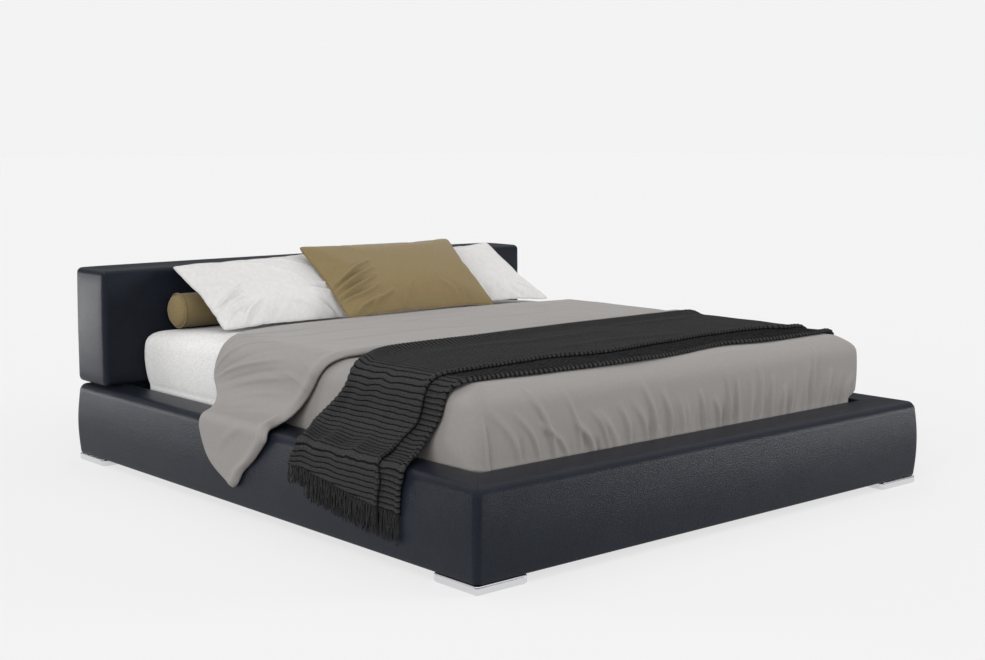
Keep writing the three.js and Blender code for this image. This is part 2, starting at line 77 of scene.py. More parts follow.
# ---- small numeric tools
def curve(points, n=12):
    """A smooth line through the points."""
    p = np.array(points, float)
    p = np.vstack([2 * p[0] - p[1], p, 2 * p[-1] - p[-2]])
    t = np.linspace(0, 1, n, endpoint=False)[:, None]
    parts = []
    for a, b, c, d in zip(p[:-3], p[1:-2], p[2:-1], p[3:]):
        parts.append(
            0.5 * (2 * b + (c - a) * t + (2 * a - 5 * b + 4 * c - d) * t**2 + (3 * b - a - 3 * c + d) * t**3)
        )
    return np.vstack(parts + [p[-2:-1]])


def table(points):
    """A smooth function through (s, value) points with rising s."""
    line = curve(points)
    line = line[np.argsort(line[:, 0])]
    return lambda s: np.interp(s, line[:, 0], line[:, 1])


def lattice(ix, iy, seed):
    """A repeatable number from -1 to 1 for each whole-number place."""
    h = (ix * 374761393 + iy * 668265263 + seed * 974634777) & 0xFFFFFFFF
    h = ((h ^ (h >> 13)) * 1274126177) & 0xFFFFFFFF
    return ((h ^ (h >> 16)) & 0xFFFF) / 32767.5 - 1


def noise(x, y, seed=1, octaves=3):
    """Smooth unevenness between -1 and 1, with finer and weaker octaves."""
    total, weight, norm = np.zeros(np.broadcast(x, y).shape), 1.0, 0.0
    for o in range(octaves):
        fx, fy = x * 2**o, y * 2**o
        ix, iy = np.floor(fx).astype(np.int64), np.floor(fy).astype(np.int64)
        u, v = fx - ix, fy - iy
        u, v = u * u * (3 - 2 * u), v * v * (3 - 2 * v)
        a, b = lattice(ix, iy, seed + o), lattice(ix + 1, iy, seed + o)
        c, d = lattice(ix, iy + 1, seed + o), lattice(ix + 1, iy + 1, seed + o)
        total += weight * (a * (1 - u) * (1 - v) + b * u * (1 - v) + c * (1 - u) * v + d * u * v)
        norm += weight
        weight *= 0.5
    return total / norm


def folds(x, y, lines):
    """The height of soft ridges: each line is (height, half width, points), and it fades at its ends."""
    total = np.zeros(np.broadcast(x, y).shape)
    for height, width, points in lines:
        p = curve(points, 5)
        steps = np.hypot(*np.diff(p, axis=0).T)
        run = np.r_[0, np.cumsum(steps)]
        best, where = np.full(total.shape, 1e9), np.zeros(total.shape)
        for i, (a, b) in enumerate(zip(p[:-1], p[1:])):
            d = b - a
            t = np.clip(((x - a[0]) * d[0] + (y - a[1]) * d[1]) / max(d @ d, 1e-12), 0, 1)
            gap = np.hypot(x - a[0] - t * d[0], y - a[1] - t * d[1])
            nearer = gap < best
            best = np.where(nearer, gap, best)
            where = np.where(nearer, run[i] + t * steps[i], where)
        fade = np.clip(np.sin(np.pi * np.clip(where / run[-1], 0, 1)), 0, 1) ** 0.7
        total += height * fade * bell(best, 0, width)
    return total


def graded(length, soft, step):
    """Distances from 0 to length, close together within soft of both ends."""
    edge = soft * (1 - np.cos(np.linspace(0, np.pi / 2, 6)))[:-1]
    inner = np.linspace(soft, length - soft, max(3, int(round((length - 2 * soft) / step)) + 1))
    return np.r_[edge, inner, length - edge[::-1]]


def smoothstep(low, high, x):
    t = np.clip((x - low) / (high - low), 0, 1)
    return t * t * (3 - 2 * t)


def hump(x, low, high):
    """A round hill from low to high, 1 at its middle."""
    return np.sin(np.pi * np.clip((x - low) / (high - low), 0, 1))


def bell(x, centre, width):
    return np.exp(-(((x - centre) / width) ** 2))


def unit(v):
    return v / np.maximum(np.linalg.norm(v, axis=-1, keepdims=True), 1e-12)


# ---- meshes
def piece(name, verts, faces, material, uv=None, weld=0.0):
    """A smooth-shaded mesh object; uv is one (u, v) per vertex."""
    mesh = bpy.data.meshes.new(name)
    mesh.from_pydata(np.asarray(verts, float).reshape(-1, 3).tolist(), [], np.asarray(faces).tolist())
    if uv is not None:
        layer = mesh.uv_layers.new(name="UVMap")
        index = np.zeros(len(mesh.loops), np.int64)
        mesh.loops.foreach_get("vertex_index", index)
        layer.data.foreach_set("uv", np.asarray(uv, np.float32).reshape(-1, 2)[index].ravel())
    if weld:
        bm = bmesh.new()
        bm.from_mesh(mesh)
        bmesh.ops.remove_doubles(bm, verts=bm.verts, dist=weld)
        bmesh.ops.recalc_face_normals(bm, faces=bm.faces)
        bm.to_mesh(mesh)
        bm.free()
    mesh.materials.append(material)
    mesh.polygons.foreach_set("use_smooth", [True] * len(mesh.polygons))
    mesh.update()
    obj = bpy.data.objects.new(name, mesh)
    bpy.context.scene.collection.objects.link(obj)
    return obj


def quads(m, n, loop_m=False, loop_n=False):
    """The faces of an m by n grid of vertices, closed on itself where asked."""
    i = np.arange(m if loop_m else m - 1)[:, None]
    j = np.arange(n if loop_n else n - 1)[None, :]
    a, b = (i % m) * n + j % n, ((i + 1) % m) * n + j % n
    c, d = ((i + 1) % m) * n + (j + 1) % n, (i % m) * n + (j + 1) % n
    return np.stack([a, b, c, d], -1).reshape(-1, 4)


def coordinates(obj):
    co = np.zeros(len(obj.data.vertices) * 3)
    obj.data.vertices.foreach_get("co", co)
    return co.reshape(-1, 3)


def set_coordinates(obj, co):
    obj.data.vertices.foreach_set("co", co.ravel())
    obj.data.update()


def displace(obj, height):
    """Moves the surface along its normals by height(points)."""
    co = coordinates(obj)
    normal = np.zeros(len(co) * 3, np.float32)
    obj.data.vertex_normals.foreach_get("vector", normal)
    set_coordinates(obj, co + normal.reshape(-1, 3) * height(co)[:, None])


def bake(obj, kind, **settings):
    """Adds a modifier and applies it to the mesh."""
    modifier = obj.modifiers.new(kind.lower(), kind)
    for key, value in settings.items():
        setattr(modifier, key, value)
    graph = bpy.context.evaluated_depsgraph_get()
    mesh = bpy.data.meshes.new_from_object(obj.evaluated_get(graph))
    obj.modifiers.clear()
    old = obj.data
    obj.data = mesh
    bpy.data.meshes.remove(old)
    mesh.name = obj.name


def surface_normals(grid):
    """Unit normals of a grid of points."""
    return unit(np.cross(np.gradient(grid, axis=0), np.gradient(grid, axis=1)))


def two_layers(top, low):
    """Vertices and faces of two grids of points that share the top's border, and which points low adds."""
    m, n = top.shape[:2]
    inside = np.zeros((m, n), bool)
    inside[1:-1, 1:-1] = True
    under = np.arange(m * n).reshape(m, n)
    under[inside] = m * n + np.arange(inside.sum())
    faces = quads(m, n)
    verts = np.vstack([top.reshape(-1, 3), low[inside]])
    return verts, np.vstack([faces, under.ravel()[faces[:, ::-1]]]), inside


def shell(name, mid, normal, thick, material, uv):
    """A closed soft layer about a grid of points; thick is nought all round its border."""
    half = normal * thick[..., None] / 2
    verts, faces, inside = two_layers(mid + half, mid - half)
    return piece(name, verts, faces, material, np.vstack([uv.reshape(-1, 2), uv[inside]]))


def rim(distance, soft):
    """A round edge: 0 at the border, 1 from soft inwards."""
    t = 1 - np.clip(distance / soft, 0, 1)
    return np.sqrt(np.clip(1 - t * t, 0, 1))


def tube(points, radius, sides=8, closed=False):
    """Vertices and faces of a round tube along points; radius is a number or one per point."""
    p = np.array(points, float)
    tangent = unit(np.roll(p, -1, 0) - np.roll(p, 1, 0) if closed else np.gradient(p, axis=0))
    side = np.cross(tangent, [0.31, 0.17, 0.93])
    slight = np.linalg.norm(side, axis=1, keepdims=True) < 0.05
    side = unit(np.where(slight, np.cross(tangent, [1, 0, 0]), side))
    up = np.cross(side, tangent)
    angle = np.linspace(0, 2 * np.pi, sides, endpoint=False)
    r = np.broadcast_to(np.asarray(radius, float), (len(p),))[:, None, None]
    ring = side[:, None] * np.cos(angle)[:, None] + up[:, None] * np.sin(angle)[:, None]
    faces = quads(len(p), sides, loop_m=closed, loop_n=True)
    return (p[:, None] + ring * r).reshape(-1, 3), faces


def tubes(name, lines, material, sides=6):
    """Many tubes as one piece; each line is (points, radius, closed)."""
    verts, faces, count = [], [], 0
    for points, radius, closed in lines:
        v, f = tube(points, radius, sides, closed)
        verts.append(v)
        faces.append(f + count)
        count += len(v)
    return piece(name, np.vstack(verts), np.vstack(faces), material)


# ---- finishes
def lin(r, g, b):
    """A screen colour as light."""
    return tuple(c / 12.92 if c <= 0.04045 else ((c + 0.055) / 1.055) ** 2.4 for c in (r, g, b)) + (1,)


class Finish:
    """A material and short ways to add nodes to it."""

    def __init__(self, name, color, roughness, metallic=0.0, **values):
        self.material = bpy.data.materials.new(name)
        self.material.use_nodes = True
        self.tree = self.material.node_tree
        self.shader = self.tree.nodes["Principled BSDF"]
        self.shader.inputs["Base Color"].default_value = lin(*color)
        self.shader.inputs["Roughness"].default_value = roughness
        self.shader.inputs["Metallic"].default_value = metallic
        for key, value in values.items():
            self.shader.inputs[key.replace("_", " ")].default_value = value
        self.color = color

    def add(self, kind, inputs=None, **settings):
        node = self.tree.nodes.new(kind)
        for key, value in settings.items():
            setattr(node, key, value)
        for key, value in (inputs or {}).items():
            if isinstance(value, bpy.types.NodeSocket):
                self.tree.links.new(value, node.inputs[key])
            else:
                node.inputs[key].default_value = value
        return node

    def place(self, scale=(1, 1, 1), source="Object"):
        coords = self.add("ShaderNodeTexCoord")
        return self.add("ShaderNodeMapping", {"Vector": coords.outputs[source], "Scale": scale}).outputs[0]

    def noise(self, where, scale, detail=3.0, roughness=0.5, distortion=0.0):
        inputs = {"Vector": where, "Scale": scale, "Detail": detail, "Roughness": roughness}
        return self.add("ShaderNodeTexNoise", inputs | {"Distortion": distortion}).outputs["Fac"]

    def math(self, operation, a, b=0.0):
        return self.add("ShaderNodeMath", {0: a, 1: b}, operation=operation).outputs[0]

    def ramp(self, value, low, high, to_low=0.0, to_high=1.0):
        inputs = {"Value": value, "From Min": low, "From Max": high, "To Min": to_low, "To Max": to_high}
        return self.add("ShaderNodeMapRange", inputs, interpolation_type="SMOOTHSTEP").outputs[0]

    def mix(self, factor, a, b):
        return self.add("ShaderNodeMix", {0: factor, 6: a, 7: b}, data_type="RGBA").outputs[2]

    def paint(self, socket):
        self.tree.links.new(socket, self.shader.inputs["Base Color"])

    def bump(self, height, depth, strength=1.0, under=None):
        inputs = {"Height": height, "Distance": depth, "Strength": strength}
        if under is not None:
            inputs["Normal"] = under
        socket = self.add("ShaderNodeBump", inputs).outputs[0]
        self.tree.links.new(socket, self.shader.inputs["Normal"])
        return socket


def shade(color, k):
    return lin(*[min(1, c * k) for c in color])


def leather_finish():
    f = Finish("leather", (0.082, 0.095, 0.124), 0.35, Specular_IOR_Level=0.12)
    where = f.place()
    inputs = {"Vector": where, "Scale": 300.0, "Smoothness": 0.5}
    cells = f.add("ShaderNodeTexVoronoi", inputs, feature="SMOOTH_F1")
    first = f.bump(cells.outputs["Distance"], 0.0009, 0.7)
    f.bump(f.noise(where, 520.0, 3.0), 0.00055, 0.7, first)
    speckle = f.ramp(f.noise(where, 330.0, 2.0), 0.35, 0.65)
    uneven = f.ramp(f.noise(where, 9.0), 0.35, 0.65)
    both = f.math("ADD", f.math("MULTIPLY", speckle, 0.7), f.math("MULTIPLY", uneven, 0.3))
    f.paint(f.mix(both, shade(f.color, 0.84), shade(f.color, 1.16)))
    return f.material


def cloth_finish(name, color, mottle, scale=(1, 1, 1), spots=60.0, weave=1500.0, rough=0.9, depth=0.0004):
    """Woven cloth: uneven shade, slubs and a fine weave."""
    f = Finish(name, color, rough, Specular_IOR_Level=0.15, Sheen_Weight=0.1, Sheen_Roughness=0.5)
    where = f.place(scale)
    uneven = f.ramp(f.noise(where, spots, 4.0, 0.6), 0.3, 0.7)
    fine = f.ramp(f.noise(where, spots * 7, 2.0), 0.35, 0.65)
    both = f.math("ADD", f.math("MULTIPLY", uneven, 0.6), f.math("MULTIPLY", fine, 0.4))
    f.paint(f.mix(both, shade(color, 1 - mottle), shade(color, 1 + mottle)))
    f.bump(f.noise(f.place(), weave, 2.0), depth, 0.6)
    return f.material


RIB = 0.0178  # from one cross-rib of the throw to the next
RIB_TOP = 0.0014  # how high the ribs stand, and how deep the gaps between them are cut
RIB_CUT = 0.0036


def knit_finish():
    f = Finish("throw_knit", (0.178, 0.178, 0.18), 0.95, Specular_IOR_Level=0.1)
    where = f.place(source="UV")
    parts = f.add("ShaderNodeSeparateXYZ", {0: where}).outputs
    wavy = f.math("MULTIPLY", f.math("SUBTRACT", f.noise(where, 60.0, 2.0), 0.5), 0.003)
    run = f.math("DIVIDE", f.math("ADD", parts[0], wavy), RIB)
    rib = f.math("ABSOLUTE", f.math("SUBTRACT", f.math("FRACT", run), 0.5))
    # painted shade: the gaps between the ribs are painted nearly black, and these painted gaps are wider on
    # top of the bed than where the throw hangs, which paints the top darker
    hanging = f.math("ABSOLUTE", parts[0])
    low = f.ramp(hanging, 0.78, 0.95, 0.25, 0.34)
    high = f.ramp(hanging, 0.78, 0.95, 0.38, 0.44)
    line = f.ramp(rib, low, high)
    stitches = f.noise(f.place((520, 160, 1), "UV"), 1.0, 3.0, 0.7)
    grain = f.mix(f.ramp(stitches, 0.32, 0.68), shade(f.color, 0.5), shade(f.color, 1.3))
    # the rib gaps are given a near-black colour as painted shade
    f.paint(f.mix(line, grain, lin(0.05, 0.05, 0.055)))
    swell = f.math("POWER", f.math("SUBTRACT", 1.0, f.math("MULTIPLY", rib, 2.0)), 0.35)
    first = f.bump(swell, 0.004, 0.9)
    f.bump(stitches, 0.0016, 0.9, first)
    return f.material


def wood_finish(name, color, scale):
    f = Finish(name, color, 0.6, Specular_IOR_Level=0.3)
    grain = f.noise(f.place(scale), 6.0, 5.0, 0.6, 1.4)
    f.paint(f.mix(f.ramp(grain, 0.3, 0.7), shade(color, 0.84), shade(color, 1.06)))
    f.bump(grain, 0.0003, 0.3)
    return f.material


LEATHER = leather_finish()
LINEN = cloth_finish("sheet_linen", (0.705, 0.702, 0.70), 0.07, (1, 1, 3), 70.0, 1100.0)
WHITE = cloth_finish("white_cotton", (0.69, 0.685, 0.68), 0.03, (1.6, 1, 1), 42.0, 1300.0)
DUVET = cloth_finish("duvet_cotton", (0.47, 0.457, 0.448), 0.02, (1, 1, 1), 90.0, 1600.0, 0.85, 0.0003)
OLIVE = cloth_finish("olive_cloth", (0.418, 0.365, 0.256), 0.09, (1, 1, 1), 230.0, 1100.0, 0.85, 0.0005)
TICKING = cloth_finish("mattress_ticking", (0.8, 0.79, 0.76), 0.02)
WEBBING = cloth_finish("webbing", (0.12, 0.12, 0.12), 0.1, (1, 8, 8), 120.0, 900.0)
KNIT = knit_finish()
FRINGE = cloth_finish("throw_fringe", (0.1, 0.1, 0.102), 0.7, (1, 1, 1), 240.0, 1400.0, 0.95)
HARD_FINISHES = {
    "chrome": Finish("chrome", (0.87, 0.87, 0.88), 0.14, 1.0).material,
    "dark_steel": Finish("dark_steel", (0.13, 0.13, 0.14), 0.5).material,
    "zinc_steel": Finish("zinc_steel", (0.62, 0.64, 0.66), 0.38, 1.0).material,
    "glide_plastic": Finish("glide_plastic", (0.11, 0.11, 0.11), 0.55).material,
    "timber": wood_finish("timber", (0.79, 0.66, 0.49), (1.2, 14, 14)),
    "plywood": wood_finish("plywood", (0.73, 0.58, 0.41), (1.5, 9, 9)),
}
for part in frame["record"]["subparts"]:
    if part["material_slot"] in HARD_FINISHES:
        mesh = frame["nodes"][part["node"]].data
        mesh.materials.clear()
        mesh.materials.append(HARD_FINISHES[part["material_slot"]])
        mesh.polygons.foreach_set("use_smooth", [True] * len(mesh.polygons))
        mesh.set_sharp_from_angle(angle=math.radians(32))
        mesh.update()


# ---- leather base and headboard
CORNER_RADIUS = 0.020  # of the base, in plan
CORNER_POINTS = 7
CROWN = 0.0065  # how far the base's faces swell
TOP_CROWN = 0.0016
EDGE_WIDTH, EDGE_HEIGHT = 0.030, 0.034  # the soft upper edge
HEM_RADIUS = 0.008  # the lower edge
INNER_RADIUS = 0.009  # the upper edge on the inside
INNER_LOW = 0.19  # how far down the cover goes there
COVER = 0.008  # its thickness on the inside and underneath
MITRE_DEPTH = 0.0016


def base_profile():
    """The cover's section as (a, b, z): a is the inset from the outer face, b adds the rail's width."""
    face = np.linspace(0, 1, 15)[1:-1]
    low, high = BASE_BOTTOM + HEM_RADIUS, BASE_TOP - EDGE_HEIGHT
    turn = np.linspace(0, np.pi / 2, 9)
    flat = np.linspace(0, 1, 9)[1:-1]
    rows = [(0.034, 0, BASE_BOTTOM), (0.012, 0, BASE_BOTTOM)]
    rows += [
        (HEM_RADIUS * (1 - np.sin(a)), 0, BASE_BOTTOM + HEM_RADIUS * (1 - np.cos(a))) for a in turn[1::2]
    ]
    rows += [(-CROWN * np.sin(np.pi * f) ** 0.9, 0, low + f * (high - low)) for f in face]
    rows += [(EDGE_WIDTH * (1 - np.cos(a)), 0, high + EDGE_HEIGHT * np.sin(a)) for a in turn]
    rows += [
        (EDGE_WIDTH * (1 - f) - INNER_RADIUS * f, f, BASE_TOP + TOP_CROWN * np.sin(np.pi * f)) for f in flat
    ]
    rows += [
        (-INNER_RADIUS * (1 - np.sin(a)), 1, BASE_TOP - INNER_RADIUS * (1 - np.cos(a))) for a in turn[::2]
    ]
    rows += [(0.0, 1, 0.24), (0.0, 1, INNER_LOW), (-COVER, 1, INNER_LOW), (-COVER, 1, BASE_TOP - 0.012)]
    rows += [(0.012, 0, BASE_TOP - 0.016), (0.009, 0, BASE_BOTTOM + COVER), (0.034, 0, BASE_BOTTOM + COVER)]
    return rows


def base_upholstery():
    """Leather over foam right round the base: one profile swept round a rectangle with mitred corners."""
    rows = base_profile()
    wide = (OUT_X - IN_X, OUT_Y - IN_HEAD, OUT_X - IN_X, OUT_Y + IN_FOOT)
    near = np.array([0.002, 0.005, 0.01, 0.02, 0.035])
    along = np.r_[near, np.linspace(0.055, 0.945, 60), 1 - near[::-1]]
    rings = []
    for a, b, z in rows:
        inset = [a + b * w for w in wide]
        x1, y1 = OUT_X - inset[0], OUT_Y - inset[1]
        x0, y0 = -OUT_X + inset[2], -OUT_Y + inset[3]
        r = max(CORNER_RADIUS - max(a, 0), 0.003) if b == 0 else 0.0025
        ring = []
        centres = [(x1 - r, y0 + r), (x1 - r, y1 - r), (x0 + r, y1 - r), (x0 + r, y0 + r)]
        for k, (cx, cy) in enumerate(centres):
            start = (k - 1) * np.pi / 2
            arc = start + np.linspace(0, np.pi / 2, CORNER_POINTS)
            ring += [(cx + r * np.cos(t), cy + r * np.sin(t)) for t in arc]
            nx, ny = centres[(k + 1) % 4]
            end = start + np.pi / 2
            p = np.array([cx + r * np.cos(end), cy + r * np.sin(end)])
            q = np.array([nx + r * np.cos(end), ny + r * np.sin(end)])
            ring += [tuple(p + (q - p) * t) for t in along]
        rings.append([(x, y, z) for x, y in ring])
    grid = np.array(rings)
    # the mitre seams on top: a fine groove from the outer to the inner corner
    for start in range(0, grid.shape[1], CORNER_POINTS + len(along)):
        for j, depth in ((2, 0.3), (3, 1.0), (4, 0.3)):
            top = grid[:, start + j, 2] > BASE_TOP - 0.02
            grid[top, start + j, 2] -= MITRE_DEPTH * depth
    obj = piece("base_upholstery", grid, quads(len(rows), grid.shape[1], True, True)[:, ::-1], LEATHER)

    def uneven(p):
        around = np.where(np.abs(p[:, 0]) > OUT_X - 0.06, p[:, 1], p[:, 0] + 3.1)
        outer = (np.abs(p[:, 0]) > OUT_X - 0.01) | (np.abs(p[:, 1]) > OUT_Y - 0.01)
        calm = smoothstep(0.028, 0.06, p[:, 2]) * (1 - smoothstep(0.27, 0.3, p[:, 2]))
        return np.where(outer, 0.0011 * noise(around * 3.1, p[:, 2] * 7, 5, 2) * calm, 0)

    displace(obj, uneven)
    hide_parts("side_rail_cover_right", "side_rail_cover_left", "foot_rail_cover", "head_rail_cover")
    return obj


def rounded_block(name, low, high, radius, step, material):
    """A block with round edges, fine enough to be shaped."""
    centre, half = (low + high) / 2, (high - low) / 2
    lines = [graded(2 * h, radius, step) - h for h in half]
    verts, faces, count = [], [], 0
    for axis in range(3):
        u, v = [k for k in range(3) if k != axis]
        for side in (-1, 1):
            grid = np.zeros((len(lines[u]), len(lines[v]), 3))
            grid[..., u] = lines[u][:, None]
            grid[..., v] = lines[v][None, :]
            grid[..., axis] = side * half[axis]
            core = np.clip(grid, -(half - radius), half - radius)
            grid = core + radius * unit(grid - core) + centre
            verts.append(grid.reshape(-1, 3))
            faces.append(quads(len(lines[u]), len(lines[v])) + count)
            count += grid.shape[0] * grid.shape[1]
    return piece(name, np.vstack(verts), np.vstack(faces), material, weld=1e-5)


HEADBOARD_RADIUS = 0.021


def headboard():
    obj = rounded_block("headboard_upholstery", HEAD_LOW, HEAD_HIGH, HEADBOARD_RADIUS, 0.03, LEATHER)

    # its lower edge is tighter than the others
    co = coordinates(obj)
    rise = co[:, 2] - HEAD_LOW[2]
    tight = HEAD_LOW[2] + rise * 0.55 + 0.45 * HEADBOARD_RADIUS * smoothstep(0, HEADBOARD_RADIUS, rise)
    co[:, 2] = np.where(rise < HEADBOARD_RADIUS, tight, co[:, 2])
    set_coordinates(obj, co)

    def bulge(p):
        x = np.clip(1 - (np.abs(p[:, 0]) / OUT_X) ** 8, 0, 1)
        _, y, z = hump(p, HEAD_LOW, HEAD_HIGH).T
        front = 0.005 * x * z**0.7 * (p[:, 1] < HEAD_LOW[1] + 0.02)
        top = 0.006 * x * y**0.8 * (p[:, 2] > HEAD_HIGH[2] - 0.02)
        end = 0.006 * z**0.7 * y**0.7 * (np.abs(p[:, 0]) > OUT_X - 0.02)
        return front + top + end + 0.0008 * noise(p[:, 0] * 3, p[:, 2] * 6 + p[:, 1] * 5, 9, 2)

    displace(obj, bulge)
    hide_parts("headboard_cover")
    return obj


for made in (base_upholstery(), headboard()):
    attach(made, "base")


# ---- mattress, fitted sheet and the tucked part of the duvet
def tray(name, material, half_x, foot, head, top, bottom, radius, step, open_head=False, fine=None):
    """A smooth cover over a mattress: flat on top, round over its edges, down to bottom. fine is a closer
    step for its foot and corners."""
    a0, b0 = half_x - radius, foot + radius
    h0 = head if open_head else head - radius
    xs = np.linspace(-a0, a0, int(2 * a0 / (fine or step)) + 1)
    ys = np.linspace(h0, b0, int((h0 - b0) / step) + 1)
    turn = np.linspace(0, np.pi / 2, 10)[1:]
    out = list(radius * np.sin(turn))
    drop = list(top - radius * (1 - np.cos(turn)))
    depth = np.arange(drop[-1], bottom, -step * 0.7)[1:]
    out += [radius] * (len(depth) + 1)
    drop += list(depth) + [bottom]
    arc = np.linspace(0, np.pi / 2, 73 if fine else 9)
    edge = [((-a0, y), (-1, 0)) for y in ys]
    edge += [((-a0, b0), (-np.cos(t), -np.sin(t))) for t in arc]
    edge += [((x, b0), (0, -1)) for x in xs]
    edge += [((a0, b0), (np.sin(t), -np.cos(t))) for t in arc]
    edge += [((a0, y), (1, 0)) for y in ys[::-1]]
    if not open_head:
        edge += [((a0, h0), (np.cos(t), np.sin(t))) for t in arc]
        edge += [((x, h0), (0, 1)) for x in xs[::-1]]
        edge += [((-a0, h0), (-np.sin(t), np.cos(t))) for t in arc]
    base, way = np.array(edge, float).transpose(1, 0, 2)
    rings = [np.c_[base, np.full(len(base), top)]]
    rings += [np.c_[base + way * o, np.full(len(base), z)] for o, z in zip(out, drop)]
    grid = np.array(rings)
    cap = np.stack(np.broadcast_arrays(xs[:, None], ys[None, :], top), -1)
    faces = quads(*grid.shape[:2], loop_n=not open_head)
    verts = np.vstack([grid.reshape(-1, 3), cap.reshape(-1, 3)])
    faces = np.vstack([faces, quads(len(xs), len(ys))[:, ::-1] + grid.shape[0] * grid.shape[1]])
    obj = piece(name, verts, faces, material, weld=2e-4)
    if obj.data.vertex_normals[int(np.argmax(coordinates(obj)[:, 2]))].vector.z < 0:
        obj.data.flip_normals()
    return obj


def mattress():
    half_x, head, top = BED_HIGH
    bottom = BED_LOW[2] + 0.012
    obj = tray("mattress_body", TICKING, half_x, BED_LOW[1], head, top, bottom, radius=0.046, step=0.03)
    bm = bmesh.new()
    bm.from_mesh(obj.data)
    bmesh.ops.holes_fill(bm, edges=[e for e in bm.edges if e.is_boundary])
    bm.to_mesh(obj.data)
    bm.free()
    # it lies lower under the pillows
    displace(obj, lambda p: -0.003 - 0.019 * smoothstep(0.55, 0.9, p[:, 1]) * (p[:, 2] > top - 0.06))
    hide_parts("mattress")
    return obj


def fitted_sheet():
    half_x, head, top = SHEET_HIGH
    foot = SHEET_LOW[1]
    obj = tray("fitted_sheet_cloth", LINEN, half_x, foot, head, top, bottom=0.285, radius=0.062, step=0.014)

    def settle(p):
        side = smoothstep(0.53, 0.45, p[:, 2])
        bulge = 0.019 * hump(p[:, 2], 0.312, 0.537) ** 0.8
        head = smoothstep(0.6, 0.95, p[:, 1]) * (1 - side)
        soft = 0.0025 * noise(p[:, 0] * 5, p[:, 1] * 5, 21) - 0.017 * head
        pulls = 0.0022 * noise(p[:, 1] * 16 + p[:, 0] * 9, p[:, 2] * 3, 22) * side
        headboard_side = smoothstep(0.93, 0.955, p[:, 1]) * (np.abs(p[:, 0]) < 0.86)
        bulge *= smoothstep(0.05, 0.36, p[:, 1]) * (1 - headboard_side)
        return (bulge + pulls + soft * (1 - side)) * (p[:, 2] > 0.29)

    displace(obj, settle)
    bake(obj, "SOLIDIFY", thickness=0.0022, offset=-1)
    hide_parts("fitted_sheet")
    return obj


DUVET_X = SHEET_HIGH[0] + 0.0128
DUVET_TOP = SHEET_HIGH[2] + 0.0128
DUVET_FOOT = -DUVET_X - 0.119
DUVET_HEAD = span("duvet")[1][1] - 0.012


def tucked_duvet():
    obj = tray(
        "duvet_tucked", DUVET, DUVET_X, DUVET_FOOT, DUVET_HEAD, DUVET_TOP,
        bottom=0.29, radius=0.072, step=0.013, open_head=True, fine=0.0058,
    )
    # its head end stays under the part that is turned back
    co = coordinates(obj)
    down = np.clip(DUVET_TOP - 0.04 - co[:, 2], 0, 1)
    way = np.sign(co[:, 0]) * (np.minimum(np.abs(co[:, 0]), 0.885) + down)
    limit = TURN_HEAD(way) - 0.016
    start = 0.1
    pulled = start + (co[:, 1] - start) * (limit - start) / (DUVET_HEAD - start)
    co[:, 1] = np.where(co[:, 1] > start, pulled, co[:, 1])
    # the filling bulges a little over the rails, and most at the right foot corner, beside the throw
    low_side = hump(co[:, 2], 0.318, 0.553) ** 0.8
    over_rail = smoothstep(0.308, 0.338, co[:, 2]) * smoothstep(0.55, 0.485, co[:, 2])
    corner = smoothstep(-0.905, -0.965, co[:, 1])
    co[:, 0] += 0.038 * over_rail * smoothstep(0.78, 0.9, co[:, 0]) * corner
    co[:, 0] -= 0.006 * low_side * smoothstep(0.80, 0.9, -co[:, 0])
    co[:, 1] -= 0.006 * low_side * smoothstep(-0.97, -1.02, co[:, 1])
    set_coordinates(obj, co)
    displace(obj, tucked_folds())
    bake(obj, "SOLIDIFY", thickness=0.009, offset=-1)
    return obj


def tucked_folds():
    """The height of the tucked duvet's folds: drawn up from the foot recess, with a pleat at its corner."""
    rng = np.random.default_rng(11)
    lines = []
    for x in np.arange(-0.74, 0.88, 0.058):
        x = x + rng.uniform(-0.014, 0.014)
        lean = (x - 0.42) * rng.uniform(0.07, 0.12)
        up = rng.uniform(0.40, 0.53)
        mid = (0.285 + up) / 2
        bow = rng.uniform(-0.006, 0.006)
        way = [(x - lean * 0.2, 0.26), (x + lean * 0.3 + bow, mid), (x + lean * 1.2, up)]
        lines.append((rng.uniform(0.006, 0.013), rng.uniform(0.0065, 0.012), way))
        near = x + rng.uniform(0.018, 0.036)
        small = rng.uniform(-0.007, 0.006)
        lines.append((small, 0.007, [(near, 0.27), (near + lean * 0.3, rng.uniform(0.34, 0.40))]))

    def height(p):
        foot = smoothstep(-0.97, -1.02, p[:, 1])
        face = foot * smoothstep(0.55, 0.5, p[:, 2])
        sag = 0.004 * hump(p[:, 2], 0.28, 0.53)
        crest = folds(p[:, 0], p[:, 2], lines)
        # the corner's pleat: a step that stands up along a line and dies away towards the left
        tuck = (p[:, 0] + 0.868) + 0.14 * (p[:, 2] - 0.31)
        pleat = 0.006 * np.exp(-np.clip(-tuck, 0, 1) / 0.03) * smoothstep(0.0022, -0.0012, tuck)
        pleat += 0.004 * bell(tuck, -0.003, 0.0035)
        pleat = pleat * smoothstep(0.47, 0.41, p[:, 2])
        side = smoothstep(0.54, 0.5, p[:, 2]) * (1 - foot)
        ripple = 0.0025 * noise(p[:, 1] * 9, p[:, 2] * 4, 31) * side
        top = smoothstep(0.5, 0.54, p[:, 2])
        uneven = 0.0035 * noise(p[:, 0] * 4, p[:, 1] * 4, 33) * top
        return (sag + crest + pleat) * face + ripple + uneven - 0.002 * top

    return height


